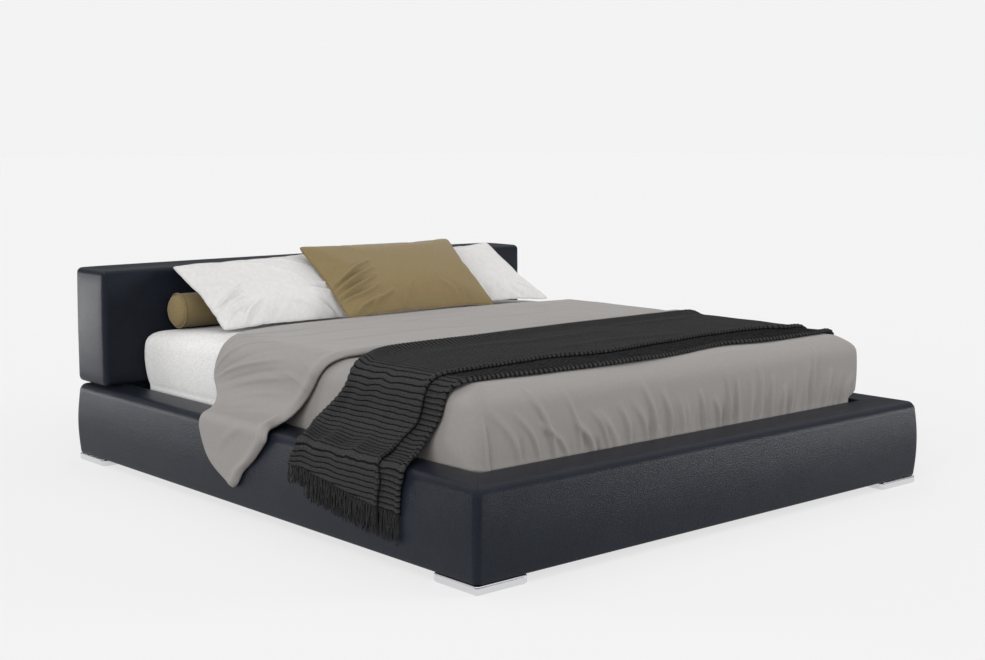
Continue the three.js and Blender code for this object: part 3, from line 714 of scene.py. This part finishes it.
# ---- layers that lie over the bedding and hang over the rails
class Drape:
    """The way of a layer across the bed: s runs over the top, over the mattress edge and down outside."""

    def __init__(self, left, right):
        self.sides = {}
        for sign, points in ((-1, left), (1, right)):
            line = curve([(0.0, points[0][1]), (0.4, points[0][1])] + points, 16)
            run = np.r_[0, np.cumsum(np.hypot(*np.diff(line, axis=0).T))]
            self.sides[sign] = (run, line)
        self.right_end = self.sides[1][0][-1]

    def at(self, s):
        """Points (x, z) and outward normals (x, z) for each s."""
        s = np.asarray(s, float)
        xz, normal = np.zeros(s.shape + (2,)), np.zeros(s.shape + (2,))
        for sign, (run, line) in self.sides.items():
            here = (s < 0) if sign < 0 else (s >= 0)
            d = np.abs(s[here])
            x, z = np.interp(d, run, line[:, 0]), np.interp(d, run, line[:, 1])
            near = 0.004
            tx = np.interp(d + near, run, line[:, 0]) - np.interp(d - near, run, line[:, 0])
            tz = np.interp(d + near, run, line[:, 1]) - np.interp(d - near, run, line[:, 1])
            length = np.maximum(np.hypot(tx, tz), 1e-9)
            xz[here] = np.stack([sign * x, z], -1)
            normal[here] = np.stack([-sign * tz / length, tx / length], -1)
        return xz, normal

    def place(self, s, y, height):
        """World points of surface places (s, y) raised by height."""
        xz, n = self.at(s)
        return np.stack([xz[..., 0] + n[..., 0] * height, y + 0 * s, xz[..., 1] + n[..., 1] * height], -1)

    def outward(self, s, y):
        """Unit vectors away from the surface at places (s, y)."""
        return self.place(s, y, 1.0) - self.place(s, y, 0.0)


# ways over the mattress edge and the rail as (x, z), and outlines as (s, y)
TURN_LEFT = [
    (0.80, 0.552), (0.85, 0.5515), (0.885, 0.545), (0.912, 0.528), (0.926, 0.50), (0.931, 0.46),
    (0.934, 0.42), (0.942, 0.385), (0.958, 0.355), (0.982, 0.334), (1.01, 0.323), (1.035, 0.3185),
    (1.052, 0.316), (1.066, 0.309), (1.0725, 0.297), (1.074, 0.28), (1.074, 0.25), (1.074, 0.02),
]
TURN_RIGHT = [
    (0.80, 0.552), (0.85, 0.5515), (0.885, 0.545), (0.908, 0.528), (0.919, 0.50), (0.921, 0.46),
    (0.921, 0.315),
]
TIP = -1.444  # where the hanging corner ends
TURN_HEAD = table([
    (TIP, 0.036), (-1.41, 0.12), (-1.378, 0.18), (-1.34, 0.217), (-1.27, 0.25), (-1.205, 0.25),
    (-1.11, 0.32), (-1.045, 0.378), (-0.99, 0.373), (-0.935, 0.35), (-0.88, 0.355), (-0.765, 0.43),
    (-0.62, 0.47), (-0.45, 0.49), (0.0, 0.49), (0.5, 0.475), (0.82, 0.43), (1.2, 0.43),
])
TURN_FREE = table([
    (TIP, 0.036), (-1.43, 0.012), (-1.38, -0.028), (-1.335, -0.088), (-1.28, -0.145), (-1.24, -0.17),
    (-1.135, -0.143), (-1.0, -0.235), (-0.895, -0.30), (-0.82, -0.305), (-0.6, -0.28), (-0.28, -0.275),
    (0.0, -0.25), (0.8, -0.24), (1.2, -0.24),
])


def turned_duvet():
    """The head part of the duvet, turned back over the rest; its left corner hangs over the rail."""
    way = Drape(TURN_LEFT, TURN_RIGHT)
    s = np.r_[
        TIP + np.array([0, 0.0004, 0.0015, 0.0035, 0.006]),
        np.arange(TIP + 0.010, -0.80, 0.0052),
        np.arange(-0.80, 0.82, 0.013),
        np.arange(0.82, way.right_end - 0.004, 0.011),
        way.right_end - np.array([0.004, 0.0015, 0]),
    ]
    q = graded(0.77, 0.024, 0.0062) / 0.77
    S = np.repeat(s[:, None], len(q), 1)
    head, free = TURN_HEAD(S), TURN_FREE(S)
    Y = head + (free - head) * q[None, :]
    edge = np.minimum(head - Y, Y - free)
    end = np.minimum(S - TIP, way.right_end - S)
    distance = np.minimum(edge, end * 0.8)
    hem = Y - free
    puff = bell(hem, 0.026, 0.026)
    thick = (0.0155 + 0.0085 * puff) * rim(distance, 0.02)
    lines = [
        (0.006, 0.0075, [(-1.06, 0.385), (-1.005, 0.27), (-0.965, 0.12), (-0.93, -0.08)]),
        (0.005, 0.0065, [(-1.045, 0.395), (-0.965, 0.31), (-0.905, 0.2), (-0.85, 0.05)]),
        (0.0042, 0.006, [(-1.035, 0.39), (-0.94, 0.335), (-0.86, 0.27), (-0.77, 0.19)]),
        (0.0055, 0.011, [(-1.09, 0.345), (-1.045, 0.2), (-1.01, 0.05), (-0.985, -0.13)]),
        (0.0045, 0.010, [(-1.13, 0.30), (-1.09, 0.18), (-1.06, 0.04), (-1.045, -0.1)]),
        (0.0035, 0.012, [(-1.20, 0.24), (-1.15, 0.12), (-1.11, -0.02), (-1.1, -0.1)]),
        (-0.004, 0.008, [(-1.075, 0.36), (-1.028, 0.22), (-0.99, 0.07), (-0.962, -0.1)]),
        (-0.003, 0.0065, [(-1.05, 0.38), (-0.985, 0.26), (-0.935, 0.12), (-0.9, -0.02)]),
        (0.0032, 0.010, [(-0.98, -0.27), (-0.93, -0.17), (-0.90, -0.06)]),
        (0.0035, 0.010, [(-1.02, -0.23), (-0.985, -0.13), (-0.97, -0.02)]),
        (0.0045, 0.013, [(-0.93, 0.36), (-0.83, 0.31), (-0.68, 0.3), (-0.52, 0.33)]),
        (0.0035, 0.012, [(-0.88, 0.2), (-0.72, 0.17), (-0.5, 0.2), (-0.3, 0.19)]),
        (0.004, 0.016, [(-0.78, 0.02), (-0.55, 0.0), (-0.3, 0.03), (0.0, 0.0)]),
        (0.0035, 0.012, [(-0.5, 0.41), (-0.3, 0.385), (-0.05, 0.405), (0.2, 0.38)]),
        (0.003, 0.012, [(-0.35, 0.29), (-0.1, 0.265), (0.2, 0.3)]),
        (0.0035, 0.014, [(0.1, 0.16), (0.35, 0.12), (0.65, 0.16)]),
        (0.003, 0.014, [(0.0, -0.1), (0.3, -0.13), (0.6, -0.09)]),
        (0.003, 0.012, [(0.35, 0.34), (0.55, 0.31), (0.78, 0.36)]),
        (0.0035, 0.016, [(-1.33, 0.13), (-1.28, 0.07), (-1.23, -0.02), (-1.19, -0.1)]),
    ]
    lift = folds(S, Y, lines) + 0.0028 * noise(S * 4.2, Y * 4.2, 41) + 0.001 * noise(S * 13, Y * 13, 43, 2)
    lift += 0.0042 * puff
    lift *= smoothstep(0, 0.03, distance) * 0.75 + 0.25
    mid = way.place(S, Y, lift)
    return shell("duvet_turned_back", mid, way.outward(S, Y), thick, DUVET, np.stack([S, Y], -1))


THROW_WAY = [
    (0.80, 0.5445), (0.86, 0.544), (0.891, 0.536), (0.909, 0.52), (0.917, 0.498), (0.920, 0.46),
    (0.923, 0.42), (0.930, 0.385), (0.946, 0.351), (0.972, 0.3265), (1.004, 0.3135), (1.035, 0.3085),
    (1.052, 0.305), (1.0625, 0.298), (1.0665, 0.287), (1.067, 0.26), (1.067, 0.02),
]
THROW_HEAD = table([
    (-1.46, -0.30), (-1.29, -0.315), (-1.225, -0.35), (-1.16, -0.31), (-1.105, -0.29), (-1.05, -0.325),
    (-0.97, -0.41), (-0.92, -0.433), (-0.86, -0.41), (-0.75, -0.33), (-0.62, -0.29), (-0.3, -0.285),
    (0.0, -0.265), (0.8, -0.25), (1.4, -0.28),
])
THROW_FOOT = table([
    (-1.46, -0.865), (-1.3, -0.87), (-1.23, -0.885), (-1.155, -0.842), (-1.08, -0.835), (-1.0, -0.88),
    (-0.925, -0.905), (-0.88, -0.935), (-0.745, -0.945), (-0.49, -0.97), (-0.15, -0.98), (0.07, -0.957),
    (0.285, -0.92), (0.5, -0.948), (0.85, -0.945), (1.0, -0.90), (1.4, -0.88),
])
THROW_INNER = table([
    (-1.46, -0.765), (-1.33, -0.77), (-1.257, -0.782), (-1.176, -0.747), (-1.1, -0.73), (-1.02, -0.785),
    (-0.9, -0.817), (-0.845, -0.825), (-0.77, -0.812), (-0.435, -0.79), (-0.15, -0.815), (0.2, -0.77),
    (0.66, -0.752), (0.79, -0.80), (0.95, -0.81), (1.4, -0.79),
])
LEFT_HEM = table([(-1.0, 1.372), (-0.76, 1.352), (-0.5, 1.319), (-0.2, 1.275)])  # (y, distance s)
RIGHT_HEM = 1.30
PLY = 0.0058  # thickness of the throw's cloth
BELOW_THROW = 0.0008  # the gap under it, and the one between its two parts
BETWEEN_PLIES = 0.0012
HEM_ROLL = 0.0075  # how much thicker its long hems are
LOWER_PLY = 0.62  # width of the throw below its fold, and above it
UPPER_PLY = 0.52
BEND = 0.0105  # radius of the fold


def throw_lift(S, Y):
    """The height of the throw's soft folds and unevenness."""
    lines = [
        (0.0075, 0.02, [(-0.86, -0.52), (-0.95, -0.5), (-1.08, -0.43), (-1.2, -0.45), (-1.3, -0.46)]),
        (-0.005, 0.02, [(-0.84, -0.58), (-0.95, -0.565), (-1.08, -0.5), (-1.2, -0.52), (-1.31, -0.52)]),
        (0.0065, 0.022, [(-0.86, -0.66), (-0.97, -0.64), (-1.1, -0.59), (-1.22, -0.62), (-1.33, -0.62)]),
        (0.006, 0.02, [(-0.9, -0.42), (-0.99, -0.41), (-1.09, -0.33), (-1.18, -0.35)]),
        (0.004, 0.03, [(-0.7, -0.47), (-0.4, -0.44), (-0.1, -0.46), (0.2, -0.43)]),
        (0.004, 0.03, [(-0.3, -0.66), (0.0, -0.63), (0.4, -0.66)]),
        (0.005, 0.03, [(0.3, -0.35), (0.55, -0.37), (0.85, -0.34)]),
    ]
    return folds(S, Y, lines) + 0.0025 * noise(S * 5, Y * 5, 51)


def hem_steps(length):
    """Distances from a hem inward, close together over its roll."""
    edge = 0.006
    border = edge * (1 - np.cos(np.linspace(0, np.pi / 2, 6)))[:-1]
    roll, inner = np.arange(edge, 0.034, 0.0028), np.arange(0.036, length - edge, 0.0125)
    return np.r_[border, roll, inner, length - edge]


def hem_roll(distance):
    """The rolled hem: 1 on its crest, 0 away from it."""
    return bell(distance, 0.010, 0.0085)


def throw():
    """The knitted throw, folded once along its head side: the lower part shows beside the upper one."""
    way = Drape(THROW_WAY, THROW_WAY)
    lower = hem_steps(LOWER_PLY) / LOWER_PLY
    upper = 1 - hem_steps(UPPER_PLY)[::-1] / UPPER_PLY
    turn = np.linspace(-np.pi / 2, np.pi / 2, 9)
    r = np.linspace(0, 1, 1000)
    r = np.r_[r[0], 0.0006, 0.0018, r[1:-1], 0.9982, 0.9994, r[-1]]
    count = len(lower) + len(turn) + len(upper)

    def columns(s):
        head, foot, inner = THROW_HEAD(s), THROW_FOOT(s), THROW_INNER(s)
        low = foot[:, None] + (head - BEND - foot)[:, None] * lower[None, :]
        up = (head - BEND)[:, None] + (inner - head + BEND)[:, None] * upper[None, :]
        bend = (head - BEND)[:, None] + BEND * np.cos(turn)[None, :]
        return np.concatenate([low, bend, up], 1)

    middle = PLY / 2 + BELOW_THROW
    hem_low, hem_up = hem_roll(lower * LOWER_PLY), hem_roll((1 - upper) * UPPER_PLY)
    h_low = middle + HEM_ROLL / 2 * hem_low
    h_bend = middle + BEND + BEND * np.sin(turn)
    slack = (2 * BEND - PLY - BETWEEN_PLIES) * bell(upper * UPPER_PLY, 0, 0.036)
    h_up = middle + PLY + BETWEEN_PLIES + slack + HEM_ROLL / 2 * hem_up
    H = np.r_[h_low, h_bend, h_up]
    # the ends are cut along the hem, so s is stretched until each column stops at its own hem
    Y = np.zeros((len(r), count))
    near_end = np.full(1, -1.33)
    left = -LEFT_HEM(columns(near_end)[0])
    for _ in range(2):
        S = left[None, :] + (RIGHT_HEM - left)[None, :] * r[:, None]
        for j in range(count):
            Y[:, j] = columns(S[:, j])[:, j]
        left = -LEFT_HEM(Y[0])
    lift = throw_lift(S, Y) * (0.35 + 0.65 * smoothstep(0, 0.05, THROW_HEAD(S) - Y))
    run = np.r_[0, np.cumsum(np.hypot(np.diff(Y, axis=1), np.diff(H)[None, :]).mean(0))]
    knit = S + 0.006 * noise(S * 11, run[None, :] * 14, 55)
    ribbed = RIB_TOP - RIB_CUT * np.exp(1.2 * (np.cos(2 * np.pi * knit / RIB) - 1))
    mid = way.place(S, Y, H[None, :] + lift)
    normal = surface_normals(mid)
    if (normal * way.outward(S, Y))[:, -8].sum() < 0:
        normal = -normal
    mid = mid + normal * ribbed[..., None]
    across = np.minimum(run, run[-1] - run)[None, :]
    end = np.minimum(S - left[None, :], RIGHT_HEM - S)
    hems = np.r_[hem_low, 0 * turn, hem_up][None, :]
    thick = (PLY + HEM_ROLL * hems) * rim(np.minimum(across, end), 0.0035 + 0.003 * hems)
    uv = np.stack([knit, np.broadcast_to(run, S.shape)], -1)
    return shell("throw_cloth", mid, normal, thick, KNIT, uv), fringe(way, Y, H, left)


def fringe(way, Y, H, left):
    """Twisted tassels along both ends of the throw."""
    rng = np.random.default_rng(5)
    lines = []
    for side, row in ((-1, 0), (1, -1)):
        run = np.r_[0, np.cumsum(np.abs(np.diff(Y[row])))]
        for d in np.arange(0.004, run[-1] - 0.003, 0.0044):
            y = np.interp(d, run, Y[row])
            h = np.interp(d, run, H)
            start = np.interp(d, run, left) if side < 0 else RIGHT_HEM
            if side < 0:
                # the tassels nearer the head are the shorter ones
                length = (0.060 if y > -0.395 else 0.088) + rng.uniform(-0.007, 0.008)
            else:
                length = 0.075 + rng.uniform(-0.01, 0.01)
            t = np.linspace(0, 1, 15)
            s = start + side * (-0.003 + length * t)
            sway = rng.uniform(-0.010, 0.010) * t**1.4 + 0.004 * rng.uniform(-1, 1) * np.sin(4 * t)
            away = h + rng.uniform(-0.0015, 0.003) * t + 0.0008
            base = way.place(s, y + sway + 0.0022 * np.sin(9 * t + d * 400), away)
            twist = t * length / 0.011 * 2 * np.pi + rng.uniform(0, 6.28)
            for phase in (0, np.pi):
                ply = base.copy()
                ply[:, 1] += 0.00115 * np.cos(twist + phase)
                ply[:, 0] += 0.00115 * np.sin(twist + phase)
                lines.append((ply, 0.00135 * (1 - 0.35 * t**4), False))
    return tubes("throw_fringe", lines, FRINGE, 5)


mattress_body = mattress()
sheet_cloth = fitted_sheet()
duvet_tucked = tucked_duvet()
duvet_turned = turned_duvet()
throw_cloth, tassels = throw()


# ---- pillows and bolster
BED_REST = BED_HIGH[2] + 0.0045  # the height that the pillows lie on
PILLOW_STEP = 0.0085
CREASE_GAIN = 1.5


def pillow(node, material, corners, front, back, seed, cord, creases, rest=BED_REST, draw=0.45):
    """A filled pillow blown up from two flat sheets.

    The corners of its seam go from the left foot corner round to the left head corner. front and back are
    how far it swells, cord is the seam's radius, rest is the height that it lies on, and draw is how much
    of the filling's pull on the sewn edges is kept.
    """
    corners = np.array(corners, float)
    bl, br, tr, tl = corners
    width = (np.linalg.norm(br - bl) + np.linalg.norm(tr - tl)) / 2
    height = (np.linalg.norm(tl - bl) + np.linalg.norm(tr - br)) / 2
    nu, nv = int(width / PILLOW_STEP), int(height / PILLOW_STEP)
    u, v = np.meshgrid(np.linspace(-1, 1, nu), np.linspace(-1, 1, nv), indexing="ij")
    x, y = u * width / 2, v * height / 2
    dome = ((1 - u**4) * (1 - v**4)) ** 0.6
    rough = 0.0015 * noise(u * 9, v * 6, seed) * dome
    top = np.stack([x, y, dome * 0.018 + rough], -1)
    low = np.stack([x, y, rough - dome * 0.018], -1)
    verts, faces, inside = two_layers(top, low)
    obj = piece(node + "_cloth", verts, faces, material)
    co = inflate(obj)
    # back onto the four corners: the sewn edges keep the way the filling pulled them in
    index = np.arange(nu * nv).reshape(nu, nv)
    half = np.abs(co[index[[0, -1, -1, 0], [0, 0, -1, -1]], :2]).mean(0)
    uv = np.stack([u, v], -1)
    flat_uv = np.vstack([uv.reshape(-1, 2), uv[inside]])
    a, b = (flat_uv * (1 - draw) + co[:, :2] / half * draw).T
    blunt = 0.02 * (np.abs(flat_uv[:, 0]) ** 18) * (np.abs(flat_uv[:, 1]) ** 14)
    a, b = a * (1 - blunt), b * (1 - blunt * width / height)
    rise = np.where(co[:, 2] > 0, front / co[:, 2].max(), back / -co[:, 2].min()) * co[:, 2]
    su, sv = (a + 1) / 2, (b + 1) / 2
    weights = np.stack([(1 - su) * (1 - sv), su * (1 - sv), su * sv, (1 - su) * sv], 1)
    normal = unit(np.cross(br - bl, tl - bl))
    shape = weights @ corners + normal * rise[:, None]
    # it settles on the bed and spreads a little there
    press = np.clip(rest + 0.012 - shape[:, 2], 0, 0.08)
    shape[:, 2] = np.maximum(shape[:, 2], rest + 0.012 * np.exp(-press / 0.012) - 0.0002)
    set_coordinates(obj, shape)
    border = np.r_[index[:, 0], index[-1, 1:], index[-2::-1, -1], index[0, -2:0:-1]]
    seam = coordinates(obj)[border]
    bake(obj, "SUBSURF", levels=1, render_levels=1)
    obj.data.polygons.foreach_set("use_smooth", [True] * len(obj.data.polygons))
    # fine creases on the front, once the cloth is fine enough for them
    co = coordinates(obj)
    ways = np.linalg.lstsq(np.stack([br - bl, tl - bl, normal], 1), (co - bl).T, rcond=None)[0]
    depth = folds((ways[0] - 0.5) * width, (ways[1] - 0.5) * height, creases)
    depth *= CREASE_GAIN * smoothstep(0.0, 0.012, ways[2])
    set_coordinates(obj, co + normal * depth[:, None])
    piping = tubes(node + "_cloth_seam", [(seam, cord, True)], material, 8)
    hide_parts(node)
    for made in (obj, piping):
        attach(made, "platform")


def inflate(obj):
    """Fills the sewn cloth with air for a moment and returns where its vertices come to rest."""
    scene = bpy.context.scene
    modifier = obj.modifiers.new("cloth", "CLOTH")
    cloth = {
        "quality": 5,
        "mass": 0.3,
        "tension_stiffness": 14,
        "compression_stiffness": 12,
        "shear_stiffness": 4,
        "bending_stiffness": 0.35,
        "air_damping": 4,
        "use_pressure": True,
        "uniform_pressure_force": 4.2,
    }
    for key, value in cloth.items():
        setattr(modifier.settings, key, value)
    modifier.settings.effector_weights.gravity = 0
    modifier.collision_settings.use_collision = False
    last = 20
    modifier.point_cache.frame_start, modifier.point_cache.frame_end = 1, last
    for f in range(1, last + 1):
        scene.frame_set(f)
    moved = obj.evaluated_get(bpy.context.evaluated_depsgraph_get())
    co = coordinates(moved)
    obj.modifiers.clear()
    scene.frame_set(1)
    return co


pillow(
    "white_pillow_left", WHITE,
    [(-0.79, 0.548, 0.546), (-0.13, 0.55, 0.546), (-0.12, 0.93, 0.777), (-0.79, 0.93, 0.759)],
    front=0.076, back=0.045, seed=3, cord=0.0016,
    creases=[
        (0.008, 0.006, [(-0.34, -0.10), (-0.27, -0.085), (-0.16, -0.03)]),
        (0.007, 0.006, [(-0.34, -0.135), (-0.28, -0.125), (-0.18, -0.09)]),
        (-0.006, 0.006, [(-0.34, -0.118), (-0.28, -0.105), (-0.18, -0.06)]),
        (0.008, 0.007, [(-0.32, -0.2), (-0.27, -0.16), (-0.19, -0.13)]),
        (0.007, 0.007, [(-0.24, -0.22), (-0.21, -0.17), (-0.13, -0.12)]),
        (0.008, 0.007, [(0.34, -0.19), (0.24, -0.13), (0.10, -0.09)]),
        (0.009, 0.006, [(0.34, -0.14), (0.26, -0.09), (0.13, -0.05)]),
        (-0.007, 0.006, [(0.34, -0.165), (0.25, -0.11), (0.12, -0.07)]),
        (0.007, 0.007, [(0.2, -0.22), (0.15, -0.17), (0.05, -0.12)]),
        (0.006, 0.007, [(0.1, -0.22), (0.07, -0.17), (-0.01, -0.13)]),
        (0.004, 0.010, [(-0.12, 0.12), (0.02, 0.06), (0.12, -0.03)]),
        (0.0035, 0.010, [(0.0, 0.14), (0.1, 0.10), (0.22, 0.04)]),
    ],
)
pillow(
    "white_pillow_right", WHITE,
    [(0.31, 0.6, 0.55), (0.85, 0.54, 0.55), (0.82, 0.92, 0.779), (0.30, 0.93, 0.777)],
    front=0.055, back=0.04, seed=4, cord=0.0016,
    creases=[
        (0.005, 0.008, [(0.24, -0.2), (0.16, -0.13), (0.1, -0.1)]),
        (0.004, 0.008, [(-0.1, -0.2), (-0.08, -0.14), (-0.02, -0.1)]),
        (0.003, 0.01, [(0.0, 0.1), (0.1, 0.06), (0.18, 0.0)]),
    ],
)
pillow(
    "centre_pillow", OLIVE,
    [(-0.28, 0.475, 0.558), (0.478, 0.475, 0.558), (0.49, 0.805, 0.818), (-0.285, 0.81, 0.818)],
    front=0.085, back=0.035, seed=6, cord=0.0022, rest=BED_REST + 0.006, draw=0.35,
    creases=[
        (0.011, 0.0065, [(-0.40, -0.045), (-0.33, -0.035), (-0.24, 0.0), (-0.17, 0.03)]),
        (0.011, 0.0065, [(-0.40, -0.075), (-0.34, -0.07), (-0.25, -0.045), (-0.17, -0.01)]),
        (0.011, 0.0065, [(-0.40, -0.105), (-0.34, -0.105), (-0.25, -0.085), (-0.18, -0.05)]),
        (0.010, 0.0065, [(-0.40, -0.135), (-0.34, -0.14), (-0.26, -0.13), (-0.19, -0.10)]),
        (-0.008, 0.006, [(-0.39, -0.06), (-0.33, -0.053), (-0.24, -0.023)]),
        (-0.008, 0.006, [(-0.39, -0.09), (-0.33, -0.088), (-0.24, -0.065)]),
        (-0.008, 0.006, [(-0.39, -0.12), (-0.33, -0.123), (-0.24, -0.108)]),
        (0.009, 0.007, [(-0.34, -0.20), (-0.29, -0.175), (-0.2, -0.15)]),
        (0.008, 0.008, [(-0.27, -0.21), (-0.23, -0.17), (-0.13, -0.13)]),
        (0.004, 0.012, [(-0.1, -0.21), (-0.07, -0.15), (-0.02, -0.09)]),
        (0.004, 0.012, [(0.2, -0.21), (0.17, -0.15), (0.10, -0.10)]),
    ],
)


def bolster():
    """A filled roll with gathered round ends and a piped seam at each."""
    low, high = span("bolster")
    low[2] -= 0.006
    high[2] -= 0.006
    r = (high[2] - low[2]) / 2
    axis_y, axis_z = (low[1] + high[1]) / 2, (low[2] + high[2]) / 2
    half = high[0]
    floor_z = BED_HIGH[2] - 0.003
    seam_x = half - 0.03
    dome = np.linspace(0, np.pi / 2, 12)
    end = [(half - 0.028 * (1 - np.cos(a)), (r - 0.004) * np.sin(a)) for a in dome]
    end += [(half - 0.031, r - 0.003)]
    along = np.linspace(half - 0.034, -(half - 0.034), 110)
    rows = end + [(x, r) for x in along] + [(-x, radius) for x, radius in end[::-1]]

    def ring(x, angle, radius):
        points = [x + 0 * angle, axis_y + radius * np.cos(angle), axis_z + radius * np.sin(angle)]
        points[2] = np.maximum(points[2], floor_z)
        return np.stack(points, -1)

    angle = np.linspace(0, 2 * np.pi, 72, endpoint=False)
    rings = []
    for x, radius in rows:
        gather = 0.0022 * np.abs(np.sin(angle * 9 + 0.5)) * bell(abs(x), half - 0.02, 0.02)
        wave = 0.0022 * noise(x * 7, np.cos(angle) * 2 + np.sin(angle), 61)
        uneven = np.maximum(radius - gather * (radius > 0.02) + wave * (radius > 0.05), 0.0005)
        rings.append(ring(x, angle, uneven))
    obj = piece("bolster_cloth", rings, quads(len(rings), len(angle), loop_n=True), OLIVE)
    angle = np.linspace(0, 2 * np.pi, 60, endpoint=False)
    cord = [(ring(side * seam_x, angle, r + 0.0005), 0.0024, True) for side in (-1, 1)]
    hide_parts("bolster")
    return obj, tubes("bolster_seam", cord, OLIVE, 8)


bolster_cloth, bolster_seam = bolster()


def pull_strap():
    """A webbing handle: a soft band that bows out between its two sewn ends."""
    low, high = span("pull_strap")
    t = np.linspace(0, 1, 60)
    x = low[0] + 0.002 + t * (high[0] - low[0] - 0.004)
    bow = smoothstep(0.0, 0.22, t) * (1 - smoothstep(0.78, 1.0, t))
    y = high[1] - 0.0018 - bow * (high[1] - low[1] - 0.0035)
    z = np.linspace(low[2] + 0.0005, high[2] - 0.0005, 12)
    mid = np.stack(np.broadcast_arrays(x[:, None], y[:, None], z[None, :]), -1)
    across = np.minimum(z - z[0], z[-1] - z)
    along = np.minimum(x - x[0], x[-1] - x)
    thick = 0.0024 * rim(np.minimum(across[None, :], along[:, None]), 0.0012)
    uv = np.stack(np.broadcast_arrays(x[:, None], z[None, :]), -1)
    obj = shell("pull_strap_webbing", mid, surface_normals(mid), thick, WEBBING, uv)
    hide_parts("pull_strap")
    return obj


strap = pull_strap()

for obj, name in (
    (mattress_body, "mattress_ticking"),
    (sheet_cloth, "sheet_linen"),
    (duvet_tucked, "duvet_cotton"),
    (duvet_turned, "duvet_cotton"),
    (throw_cloth, "throw_knit"),
    (tassels, "throw_knit"),
    (bolster_cloth, "olive_cloth"),
    (bolster_seam, "olive_cloth"),
    (strap, "webbing"),
):
    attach(obj, "platform")
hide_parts("duvet")
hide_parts("throw")


# ---- stage: pale floor, soft light and the camera
BACKDROP = 0.895
FLOOR_GLOW = 0.69
SUNS = (  # name, where it stands, strength, angle across in degrees
    ("left", (-0.95, -0.25, 0.14), 4.0, 50),
    ("front", (-0.30, -0.93, 0.20), 1.2, 44),
    ("left_rear", (-0.50, 0.86, 0.10), 1.5, 20),
    ("right", (0.82, -0.57, 0.13), 2.8, 25),
)
STRIPS = (  # name, place, what it points at, width, power
    ("right_strip", (2.4, -3.1, 0.42), (0.2, -1.2, 0.25), 2.4, 44),
    ("left_strip", (-2.5, 3.0, 0.40), (-1.06, 0.6, 0.25), 2.0, 25),
)
STRIP_HEIGHT = 0.24
CAMERA_PLACE = (-3.7344, -4.3048, 1.2667)
YAW, PITCH, ROLL = 0.720666, -0.08827, 0.000866  # radians, the yaw from +Y towards +X
LENS, SENSOR = 55.74, 36
SHIFT = -0.0609


def floor():
    """It takes the shadows and shows in the polished feet, and throws no light up on the bed."""
    glow = {"Emission_Color": (1, 1, 1, 1), "Emission_Strength": FLOOR_GLOW}
    pale = Finish("floor", (0.42, 0.42, 0.42), 1.0, Specular_IOR_Level=0.0, **glow).material
    far = 80
    corners = [(-far, -far, 0), (far, -far, 0), (far, far, 0), (-far, far, 0)]
    obj = piece("floor", corners, [(0, 1, 2, 3)], pale)
    obj.visible_diffuse = False


def backdrop(scene):
    """The backdrop is plain pale grey; what lights the object comes mostly from above."""
    world = bpy.data.worlds.new("studio")
    scene.world = world
    world.use_nodes = True
    tree = world.node_tree
    back = tree.nodes["Background"]
    coords = tree.nodes.new("ShaderNodeTexCoord")
    split = tree.nodes.new("ShaderNodeSeparateXYZ")
    fade = tree.nodes.new("ShaderNodeMapRange")
    fade.interpolation_type = "SMOOTHSTEP"
    for key, value in (("From Min", 0.14), ("From Max", 0.8), ("To Min", 0.03), ("To Max", 1.25)):
        fade.inputs[key].default_value = value
    seen = tree.nodes.new("ShaderNodeMix")
    seen.inputs[3].default_value = BACKDROP
    rays = tree.nodes.new("ShaderNodeLightPath")
    for source, target in (
        (coords.outputs["Generated"], split.inputs[0]),
        (split.outputs[2], fade.inputs["Value"]),
        (rays.outputs["Is Camera Ray"], seen.inputs[0]),
        (fade.outputs[0], seen.inputs[2]),
        (seen.outputs[0], back.inputs["Strength"]),
    ):
        tree.links.new(source, target)
    back.inputs["Color"].default_value = (1, 1, 1, 1)


def lamp(scene, name, kind, away, power):
    """A light that shines along the opposite of away."""
    light = bpy.data.lights.new(name, kind)
    light.energy = power
    obj = bpy.data.objects.new(name, light)
    obj.rotation_euler = away.to_track_quat("Z", "Y").to_euler()
    scene.collection.objects.link(obj)
    return obj


def lights(scene):
    """Four suns light the bed. They would glare off the level leather, so they are kept out of gloss,
    which two strips light instead."""
    for name, way, strength, angle in SUNS:
        sun = lamp(scene, name, "SUN", Vector(way), strength)
        sun.data.angle = math.radians(angle)
        sun.visible_glossy = False
    for name, place, towards, width, power in STRIPS:
        strip = lamp(scene, name, "AREA", Vector(place) - Vector(towards), power)
        strip.data.shape = "RECTANGLE"
        strip.data.size = width
        strip.data.size_y = STRIP_HEIGHT
        strip.location = place
        strip.visible_camera = False
        strip.visible_diffuse = False


def camera(scene):
    view = bpy.data.cameras.new("camera")
    view.lens = LENS
    view.sensor_width = SENSOR
    view.shift_y = SHIFT
    view.clip_end = 200
    eye = bpy.data.objects.new("camera", view)
    look = Vector((math.cos(PITCH) * math.sin(YAW), math.cos(PITCH) * math.cos(YAW), math.sin(PITCH)))
    right = Vector((math.cos(YAW), -math.sin(YAW), 0))
    up = right.cross(look)
    right, up = right * math.cos(ROLL) + up * math.sin(ROLL), up * math.cos(ROLL) - right * math.sin(ROLL)
    turn = Matrix((right, up, -look)).transposed()
    eye.matrix_world = Matrix.Translation(CAMERA_PLACE) @ turn.to_4x4()
    scene.collection.objects.link(eye)
    scene.camera = eye


studio = bpy.context.scene
studio.view_settings.view_transform = "Standard"
floor()
backdrop(studio)
lights(studio)
camera(studio)
